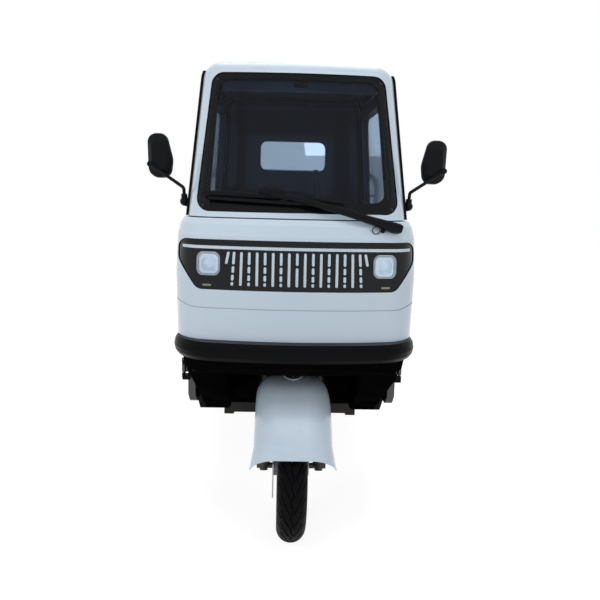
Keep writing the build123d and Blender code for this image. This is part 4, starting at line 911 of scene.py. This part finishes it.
def panel_on(name, loop, tree, lift, thick, material, body, count=48):
    """Small flat-backed plate laid on a surface, from an (x, z) loop."""
    loop = resampled(loop, count)
    middle = sum(loop, Vector((0, 0))) / count
    points, faces = [], []
    for height in (lift, lift - thick):
        points.append(from_front(tree, middle.x, middle.y, height)[0])
        points += [from_front(tree, spot.x, spot.y, height)[0] for spot in loop]
    layer = count + 1
    for place in range(count):
        a, b = 1 + place, 1 + (place + 1) % count
        faces += [(0, a, b), (layer, layer + b, layer + a), (a, layer + a, layer + b, b)]
    return solid(name, points, faces, material, body)


def header():
    """Rail of the roof's inner trim behind the top of the windscreen, with the dark bracket in its middle.
    """
    points, stations = [], 25
    for place in range(stations):
        x = -0.25 + 0.5 * place / (stations - 1)
        top = from_front(SCREEN, x, 1.562)[0]
        low = from_front(SCREEN, x, 1.505)[0]
        points += [top + Vector((0, 0.009, -0.004)), low + Vector((0, 0.010, 0.010))]
        points += [low + Vector((0, 0.034, 0.014)), top + Vector((0, 0.075, -0.006))]
    solid("header_rail", points, stack_faces(stations, 4), header_grey, "chassis")
    block = rounded_loop([(-0.020, 1.534), (0.030, 1.534), (0.026, 1.553), (-0.016, 1.553)], 0.005)
    panel_on("header_bracket", block, SCREEN, -0.0062, 0.003, glaze_black, "chassis", 32)


header()
corners = ((-0.2675, 1.5560), (0.2675, 1.5560), (-0.2965, 1.1500), (0.2965, 1.1500))
screen_bolts = [from_front(SCREEN, x, z, 0.0004) for x, z in corners]
repeated(
    "windscreen_corner_bolts", DOMES, [(spot, normal, (1, 0, 0)) for spot, normal in screen_bolts],
    black_fastener, "chassis", Head_Radius=0.0065, Head_Height=0.003, smooth=True,
)


# Lamps

LENS = surface_of(NODES["headlamp_lenses"].data)
PANEL = surface_of(NODES["grille_panel"].data)


def box_loop(x0, x1, z0, z1, side=1):
    """Corners of an upright rectangle, mirrored when side is -1."""
    x0, x1 = sorted((side * x0, side * x1))
    return [(x0, z0), (x1, z0), (x1, z1), (x0, z1)]


for side, label in SIDES:
    outer = aligned(rounded_loop(box_loop(0.2365, 0.3075, 0.9435, 1.0125, side), 0.0195))
    inner = aligned(rounded_loop(box_loop(0.2415, 0.3025, 0.9485, 1.0075, side), 0.0155))
    ring_sheet(
        f"lamp_rim_{label}", outer, inner, LENS, 0.0006, 0.0005, lamp_rim, "chassis", rows=1, count=96
    )
    # Painted glints low in the panel's corners
    glint_patch = rounded_loop(box_loop(0.262, 0.290, 0.9095, 0.9155, side), 0.0025, 3)
    panel_on(f"panel_glint_{label}", glint_patch, PANEL, 0.0008, 0.0006, painted_glint_yellow, "chassis", 32)


def lathe(name, profile, centre, axis, material, body, count):
    """Turned piece: (distance along, radius) profile round an axis."""
    turn = Vector((0, 0, 1)).rotation_difference(Vector(axis).normalized()).to_matrix()
    points = []
    for along, radius in profile:
        for place in range(count):
            angle = 2 * math.pi * place / count
            spot = Vector((radius * math.cos(angle), radius * math.sin(angle), along))
            points.append(Vector(centre) + turn @ spot)
    return solid(name, points, stack_faces(len(profile), count), material, body, smooth=True)


def cut_plate(name, loop, y0, y1, material, body, soft=0.0012):
    """Upright plate that looks to +Y, with a softened outer edge, from an (x, z) loop."""
    loop = [Vector(spot) for spot in loop]
    middle = sum(loop, Vector((0, 0))) / len(loop)
    shrunk = [spot + (middle - spot).normalized() * soft for spot in loop]
    points = [
        (spot.x, y, spot.y) for row, y in ((loop, y0), (loop, y1 - soft), (shrunk, y1)) for spot in row
    ]
    return solid(name, points, stack_faces(3, len(loop)), material, body)


for side, label in SIDES:
    for low, high, name, material in (
        (0.336, 0.374, "reverse", white_lens), (0.377, 0.424, "stop", red_lens),
        (0.427, 0.464, "turn", amber_lens),
    ):
        loop = rounded_loop(box_loop(low, high, 0.513, 0.589, side), 0.005, 4)
        cut_plate(f"{name}_lens_{label}", loop, 1.4112, 1.4175, material, "chassis")
cut_plate(
    "plate_blank", rounded_loop(box_loop(-0.105, 0.105, 0.424, 0.572), 0.008, 5), 1.3974, 1.3990,
    plate_blank, "chassis", soft=0.0005
)
repeated(
    "plate_screws", DOMES,
    [((x, 1.3990, z), (0, 1, 0), (1, 0, 0)) for x in (-0.085, 0.085) for z in (0.44, 0.556)],
    zinc, "chassis", Head_Radius=0.005, Head_Height=0.002, smooth=True,
)


# Mirror glass

MIRROR_X, MIRROR_Z = 0.444, 1.304
GLASS_SHARE = 0.9
mirror_shape = [(0.041, 0.071), (-0.020, 0.071), (-0.041, -0.012), (-0.034, -0.071), (0.038, -0.071)]
for side, label in SIDES:
    loop = [
        (side * (MIRROR_X + a * GLASS_SHARE), MIRROR_Z + b * GLASS_SHARE) for a, b in mirror_shape
    ][::side]
    radii = [0.025, 0.025, 0.054, 0.027, 0.030][::side]
    y = behind(0.026)
    cut_plate(
        f"mirror_glass_{label}", rounded_loop(loop, radii, 8), y + 0.0001, y + 0.0008, mirror_glass,
        "chassis", soft=0.0004
    )


# Wheel nuts, valves and other fittings


HUB_FACE_X = 0.4542
VALVE_CIRCLE = 0.1335


def wheel_nuts(label, side, count, radius):
    places = []
    for place in range(count):
        angle = 2 * math.pi * (place + 0.5) / count
        out = Vector((0, math.cos(angle), math.sin(angle)))
        places.append(
            (Vector((side * HUB_FACE_X, REAR_AXLE_Y, REAR_RADIUS)) + out * radius, (side, 0, 0), out)
        )
    repeated(
        f"rear_wheel_nuts_{label}", BOLTS, places, zinc, f"rear_{label}_wheel",
        Head_Radius=0.0052, Head_Height=0.0045,
    )


def valve(name, x, centre_y, radius, degrees, neck, end, lean, body):
    """Tyre valve on the rim, leaning in towards the hub; lean is its (sideways, inward) aim."""
    out = Vector((0, math.cos(math.radians(degrees)), math.sin(math.radians(degrees))))
    foot = Vector((x, centre_y, radius)) + out * VALVE_CIRCLE
    profile = [(0, 0.0055), (0.004, 0.0055), (0.006, 0.0038), (neck, 0.0038)]
    profile += [(neck + 0.001, 0.0046), (end, 0.0046), (end + 0.001, 0.0035)]
    lathe(name, profile, foot, Vector((lean[0], 0, 0)) - out * lean[1], handle_black, body, 16)


for side, label in SIDES:
    wheel_nuts(label, side, 5, 0.0262)
    valve(
        f"valve_rear_{label}", side * 0.398, REAR_AXLE_Y, REAR_RADIUS, 36, 0.019, 0.028, (side, 0.35),
        f"rear_{label}_wheel",
    )
valve("valve_front", 0.012, FRONT_AXLE_Y, FRONT_RADIUS, 130, 0.015, 0.023, (0.9, 0.4), "front_wheel")


# Chequered floor of the load bed, its studs turned one way and the other in turn
DECK_Z = 0.6504
STUD_PITCH_X, STUD_PITCH_Y = 0.029, 0.0305
studs = []
for row in range(47):
    for place in range(33):
        x, y = -0.464 + place * STUD_PITCH_X, -0.058 + row * STUD_PITCH_Y
        if abs(x) < 0.462 and y < 1.375:
            way = 1 if (row + place) % 2 else -1
            studs.append(((x, y, DECK_Z), (0, 0, 1), (0.707, 0.707 * way, 0)))
repeated(
    "bed_floor_studs", STUDS, studs, floor_plate, "chassis", Length=0.022, Width=0.0062, Height=0.0010
)

# Rope hooks under the bed edges, clear of the dropped boards
HOOK_X, HOOK_Z = 0.470, 0.597
hooks = []
for side, _ in SIDES:
    hooks += [
        ((side * HOOK_X, y, HOOK_Z), (0, 0, -1), (side, 0, 0)) for y in (0.02, 0.25, 0.44, 1.12, 1.30)
    ]
repeated("rope_hooks", HOOKS, hooks, zinc, "chassis", smooth=True, Rod_Radius=0.0038, Reach=0.028)


# Inside the cab

def slab(name, loops, material):
    """Flat piece of the cab between two rings of points."""
    points = [spot for loop in loops for spot in loop]
    solid(name, points, stack_faces(2, len(loops[0])), material, "chassis")


mat = resampled(
    rounded_loop([(-0.255, -0.775), (0.300, -0.775), (0.300, -0.612), (-0.255, -0.612)], 0.02), 80
)
slab("floor_mat", [[(spot.x, spot.y, z) for spot in mat] for z in (0.3513, 0.3545)], mat_rubber)
ribs = [((-0.24 + 0.015 * place, -0.6935, 0.3544), (0, 0, 1), (0, 1, 0)) for place in range(35)]
repeated("floor_mat_ribs", STUDS, ribs, mat_rubber, "chassis", Length=0.135, Width=0.007, Height=0.0022)

display = rounded_loop(box_loop(-0.078, 0.078, 1.1065, 1.1445), 0.006, 4)
screen = []
for lift in (0.0004, 0.0022):
    screen.append([(spot.x, behind(0.1060) + (spot.y - 1.096) / 9 + lift, spot.y) for spot in display])
slab("display_panel", screen, screen_dark)


def seal(name, node, side, body):
    """Black rubber round a door window, along the edge of its glass."""
    tree = surface_of(NODES[node].data)
    low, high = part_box(node)
    (y0, y1), (z0, z1) = ((low[axis] + 0.004, high[axis] - 0.004) for axis in (1, 2))
    x = side * (high[0] if side > 0 else -low[0])
    points = []
    for spot in resampled(rounded_loop(box_loop(y0, y1, z0, z1), 0.03), 90):
        hit = tree.find_nearest(Vector((x, spot.x, spot.y)))[0]
        points.append(hit + Vector((side * 0.0018, 0, 0)))
    tube(name, points, 0.0028, seal_rubber, body, closed=True)


for side, label in SIDES:
    seal(f"door_window_seal_{label}", f"door_glass_{label}", side, f"{label}_door")


# Seat


SEAT_VOXEL = 0.0062
PUFF_LIMIT = 0.012
SEAM_WIDTH, SEAM_DEPTH = 0.0035, 0.0055
PUFF_FRAMES = 20


def sewn(name, node, seams, facing, low, high):
    """Padded cover: the CAD cushion drawn in, blown up by cloth simulation, held to its room and sewn
    with channels at the seams' x on the side that it faces."""
    mesh = NODES[node].data.copy()
    mesh.name = name
    mesh = with_modifier(mesh, "REMESH", mode="VOXEL", voxel_size=SEAT_VOXEL)
    mesh = with_modifier(mesh, "DISPLACE", strength=-0.007, mid_level=0.0, direction="NORMAL")
    mesh = with_modifier(mesh, "SMOOTH", iterations=6, factor=0.5)
    item = placed(name, mesh)
    start = np.array([v.co[:] for v in mesh.vertices])
    cloth = item.modifiers.new("padding", "CLOTH")
    cloth.settings.quality = 4
    cloth.settings.use_pressure = True
    cloth.settings.uniform_pressure_force = 4.0
    cloth.settings.effector_weights.gravity = 0.0
    cloth.point_cache.frame_start, cloth.point_cache.frame_end = 1, PUFF_FRAMES
    for step in range(1, PUFF_FRAMES + 1):
        bpy.context.scene.frame_set(step)
    mesh = baked(item)
    bpy.context.scene.frame_set(1)
    move = np.array([v.co[:] for v in mesh.vertices]) - start
    length = np.linalg.norm(move, axis=1, keepdims=True)
    move *= np.minimum(1, PUFF_LIMIT / np.maximum(length, 1e-9))
    mesh.vertices.foreach_set("co", (start + move).ravel())
    mesh = with_modifier(mesh, "SUBSURF", levels=1, render_levels=1)
    spots = np.array([v.co[:] for v in mesh.vertices])
    normals = np.array([v.normal[:] for v in mesh.vertices])
    front = fade(normals @ np.array(facing), 0.45, 0.2)
    sink = np.zeros(len(spots))
    for x in seams:
        sink = np.maximum(sink, SEAM_DEPTH * np.exp(-(((spots[:, 0] - x) / SEAM_WIDTH) ** 2)) * front)
    spots = np.clip(spots - normals * sink[:, None], low, high)
    mesh.vertices.foreach_set("co", spots.ravel())
    item = piece(name, mesh, seat_black, "chassis", smooth=True)
    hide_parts(node)
    return item


cushion = sewn(
    "seat_cushion_sewn", "seat_cushion", (-0.135, -0.045, 0.045, 0.135), (0, 0, 1),
    (-0.240, -0.6115, 0.6404), (0.240, -0.3075, 0.7205),
)
sewn(
    "seat_back_sewn", "seat_back", (-0.125, -0.042, 0.042, 0.125), (0, -1, 0),
    (-0.225, -0.3020, 0.668), (0.225, -0.2230, 1.0990),
)


def piping(name, item, loop):
    """Sewn cord along the edge of a cushion."""
    tree = surface_of(item.data)
    points = []
    for spot in loop:
        hit, normal, _, _ = tree.find_nearest(Vector(spot))
        points.append(hit - normal * 0.0005)
    tube(name, points, 0.0026, seam_black, "chassis", closed=True)


edge = resampled(
    rounded_loop([(-0.240, -0.612), (0.240, -0.612), (0.240, -0.307), (-0.240, -0.307)], 0.02), 140
)
piping("seat_cushion_piping", cushion, [(spot.x * 0.985, spot.y, 0.704) for spot in edge])


# Wiper, stand on the shelf and mudguard rim


def bar(name, stations, material):
    """Bar with a rounded rectangle section through (middle, up, out, half height, half depth) stations."""
    corners = [
        (-1, -0.55), (-0.55, -1), (0.55, -1), (1, -0.55), (1, 0.55), (0.55, 1), (-0.55, 1), (-1, 0.55)
    ]
    points = [m + u * a * h + o * b * d for m, u, o, h, d in stations for a, b in corners]
    solid(name, points, stack_faces(len(stations), len(corners)), material, "chassis")


def glass_stations(rows):
    """Stations along the windscreen from (x, z, half height, half depth, lift) rows."""
    stations = []
    for x, z, half_height, half_depth, lift in rows:
        spot, out = from_front(SCREEN, x, z, lift)
        stations.append((spot, Vector((0, 0, 1)), out, half_height, half_depth))
    return stations


bar("wiper_blade_spine", glass_stations([
    (-0.2900, 1.1830, 0.006, 0.004, 0.015), (-0.2840, 1.1828, 0.0085, 0.005, 0.015),
    (-0.16, 1.1800, 0.0085, 0.006, 0.015),
    (-0.05, 1.1765, 0.0080, 0.006, 0.015), (0.06, 1.1695, 0.0060, 0.005, 0.015),
    (0.140, 1.1620, 0.0035, 0.003, 0.015),
]), handle_black)
bar("wiper_blade_clip", glass_stations([
    (-0.118, 1.1905, 0.006, 0.005, 0.026), (-0.100, 1.1905, 0.0105, 0.007, 0.026),
    (-0.075, 1.1890, 0.0105, 0.008, 0.026), (-0.040, 1.1850, 0.008, 0.006, 0.026),
]), handle_black)
arm = []
for x, z, lift, half_height, half_depth in (
    (-0.085, 1.1900, 0.000, 0.0060, 0.004), (-0.020, 1.1815, 0.001, 0.0070, 0.005),
    (0.065, 1.1625, 0.002, 0.0080, 0.006),
    (0.150, 1.1400, 0.003, 0.0090, 0.007), (0.225, 1.1190, 0.003, 0.0105, 0.008),
    (0.262, 1.1080, 0.002, 0.0125, 0.010),
    (0.290, 1.0995, 0.000, 0.0145, 0.011), (0.312, 1.0950, -0.001, 0.0135, 0.011),
    (0.322, 1.0940, -0.001, 0.0090, 0.008),
):
    y = -1.3115 - 0.0235 * min(1.0, (x + 0.085) / 0.30)
    arm.append(
        (
            Vector((x, y - lift, z)), Vector((0.20, 0, 0.98)), Vector((0, -0.9, 0.44)), half_height,
            half_depth
        )
    )
bar("wiper_arm_cover", arm, handle_black)
COWL = surface_of(NODES["front_fascia"].data)
loop_middle = from_front(COWL, 0.240, 1.0880, 0.004)[0]
pipe = []
for turn in np.radians(range(0, 360, 20)):
    shift = (0.0115 * math.cos(turn), -0.002 * math.sin(turn) - 0.002, 0.0115 * math.sin(turn))
    pipe.append(loop_middle + Vector(shift))
tube("washer_pipe_loop", pipe, 0.0017, seal_rubber, "chassis", closed=True)
nozzle = from_front(COWL, 0.262, 1.0870, 0.0)[0]
lathe(
    "washer_nozzle", [(-0.002, 0.007), (0.004, 0.007), (0.008, 0.005), (0.010, 0.003)], nozzle,
    (0, -0.8, 0.6), handle_black, "chassis", 20
)

stand = []
for x, z, half_width, half_depth in (
    (0.071, 1.120, 0.012, 0.008), (0.069, 1.170, 0.011, 0.008), (0.063, 1.200, 0.010, 0.007),
    (0.059, 1.245, 0.008, 0.006), (0.057, 1.2700, 0.006, 0.005)
):
    spot = from_front(SCREEN, x, max(z, 1.14), -0.040)[0]
    stand.append((Vector((x, spot.y, z)), Vector((1, 0, 0)), Vector((0, 1, 0)), half_width, half_depth))
bar("shelf_stand", stand, trim_black)

GUARD = surface_of(NODES["mudguard_front"].data)
notch = [
    (-0.040, -1.128), (-0.035, -1.165), (-0.029, -1.191), (-0.016, -1.213), (0.0, -1.222),
    (0.016, -1.213), (0.029, -1.191), (0.035, -1.165), (0.040, -1.128)
]


def on_guard(x, y, lift):
    spot, normal, _, _ = GUARD.ray_cast(Vector((x, y, 0.9)), Vector((0, 0, -1)))
    return spot + normal * lift


tube("mudguard_notch_rim", [on_guard(x, y, 0.0015) for x, y in notch], 0.0028, guard_paint, "steering")


def notch_shade_sheet():
    """Grey sheet of painted shade that fills the notch of the mudguard round the steering head."""
    points, faces = [], []
    for lift in (0.0012, 0.0004):
        points.append(on_guard(0.0, -1.160, lift))
        points += [on_guard(x * 0.97, y + 0.001, lift) for x, y in notch]
    layer = len(notch) + 1
    for place in range(1, layer):
        after = place + 1 if place + 1 < layer else 1
        faces += [
            (0, place, after), (layer, layer + after, layer + place),
            (place, layer + place, layer + after, after)
        ]
    solid("mudguard_notch_painted_shade", points, faces, notch_shade_grey, "steering")


notch_shade_sheet()


# Floor, light and camera


def shown(graph):
    """1 where the backdrop is seen by the camera, in a reflection or through glass."""
    light = graph.node("ShaderNodeLightPath")
    seen = graph.math(
        "ADD", light.outputs["Is Camera Ray"], light.outputs["Is Transmission Ray"], clamp=True
    )
    return graph.math("ADD", seen, light.outputs["Is Glossy Ray"], clamp=True)


FLOOR_SHADE = 0.42
FLOOR_GLOW = 0.86
AIR_LIGHT = 0.27
FLOOR_HALF = 14


def studio():
    """White floor and air with soft area lamps."""
    white, graph, shader = new_material("studio_white")
    shader.inputs["Base Color"].default_value = (FLOOR_SHADE, FLOOR_SHADE, FLOOR_SHADE, 1)
    shader.inputs["Roughness"].default_value = 0.9
    shader.inputs["Specular IOR Level"].default_value = 0.1
    shader.inputs["Emission Color"].default_value = (1, 1, 1, 1)
    graph.feed(shader.inputs["Emission Strength"], graph.times(shown(graph), FLOOR_GLOW))
    corners = [(x * FLOOR_HALF, y * FLOOR_HALF, 0) for x, y in ((-1, -1), (1, -1), (1, 1), (-1, 1))]
    mesh = raw("studio_floor", corners, [(0, 1, 2, 3)])
    mesh.materials.append(white)
    floor = placed("studio_floor", mesh)

    world = bpy.data.worlds.new("studio_air")
    bpy.context.scene.world = world
    world.use_nodes = True
    graph = Graph(world.node_tree)
    backdrop = world.node_tree.nodes["Background"]
    backdrop.inputs["Color"].default_value = (1, 1, 1, 1)
    graph.feed(backdrop.inputs["Strength"], graph.blend(shown(graph), AIR_LIGHT, 1.0))

    for name, spot, target, size, power, mirrored in [
        ("key", (-3.8, -4.4, 2.1), (0, -0.6, 0.9), 2.6, 88, False),
        ("fill", (4.0, -3.8, 1.9), (0, -0.6, 0.8), 2.6, 55, False),
        ("front_top", (0.0, -2.7, 5.0), (0, -0.9, 0.9), 2.0, 50, False),
        ("top", (0.0, 1.4, 5.2), (0, 0.5, 0.9), 3.2, 36, True),
        ("back", (1.5, 5.0, 3.0), (0, 0.6, 0.8), 3.0, 45, True),
    ]:
        lamp = bpy.data.lights.new(name, "AREA")
        lamp.energy = power
        lamp.size = size
        body = placed(name, lamp)
        body.location = spot
        body.visible_glossy = body.visible_transmission = mirrored
        body.rotation_euler = (Vector(target) - Vector(spot)).to_track_quat("-Z", "Y").to_euler()


def camera():
    """Camera of the photo."""
    eye = bpy.data.cameras.new("photo_camera")
    eye.lens = 39.0
    eye.sensor_width = 36.0
    eye.clip_start = 0.05
    body = placed("photo_camera", eye)
    place = Matrix.Translation((-0.054, -3.327, 1.22))
    for degrees, axis in ((-1.9, "Z"), (80, "X"), (1.4, "Z")):
        place = place @ Matrix.Rotation(math.radians(degrees), 4, axis)
    body.matrix_world = place
    bpy.context.scene.camera = body


studio()
camera()
bpy.context.scene.view_settings.view_transform = "Standard"
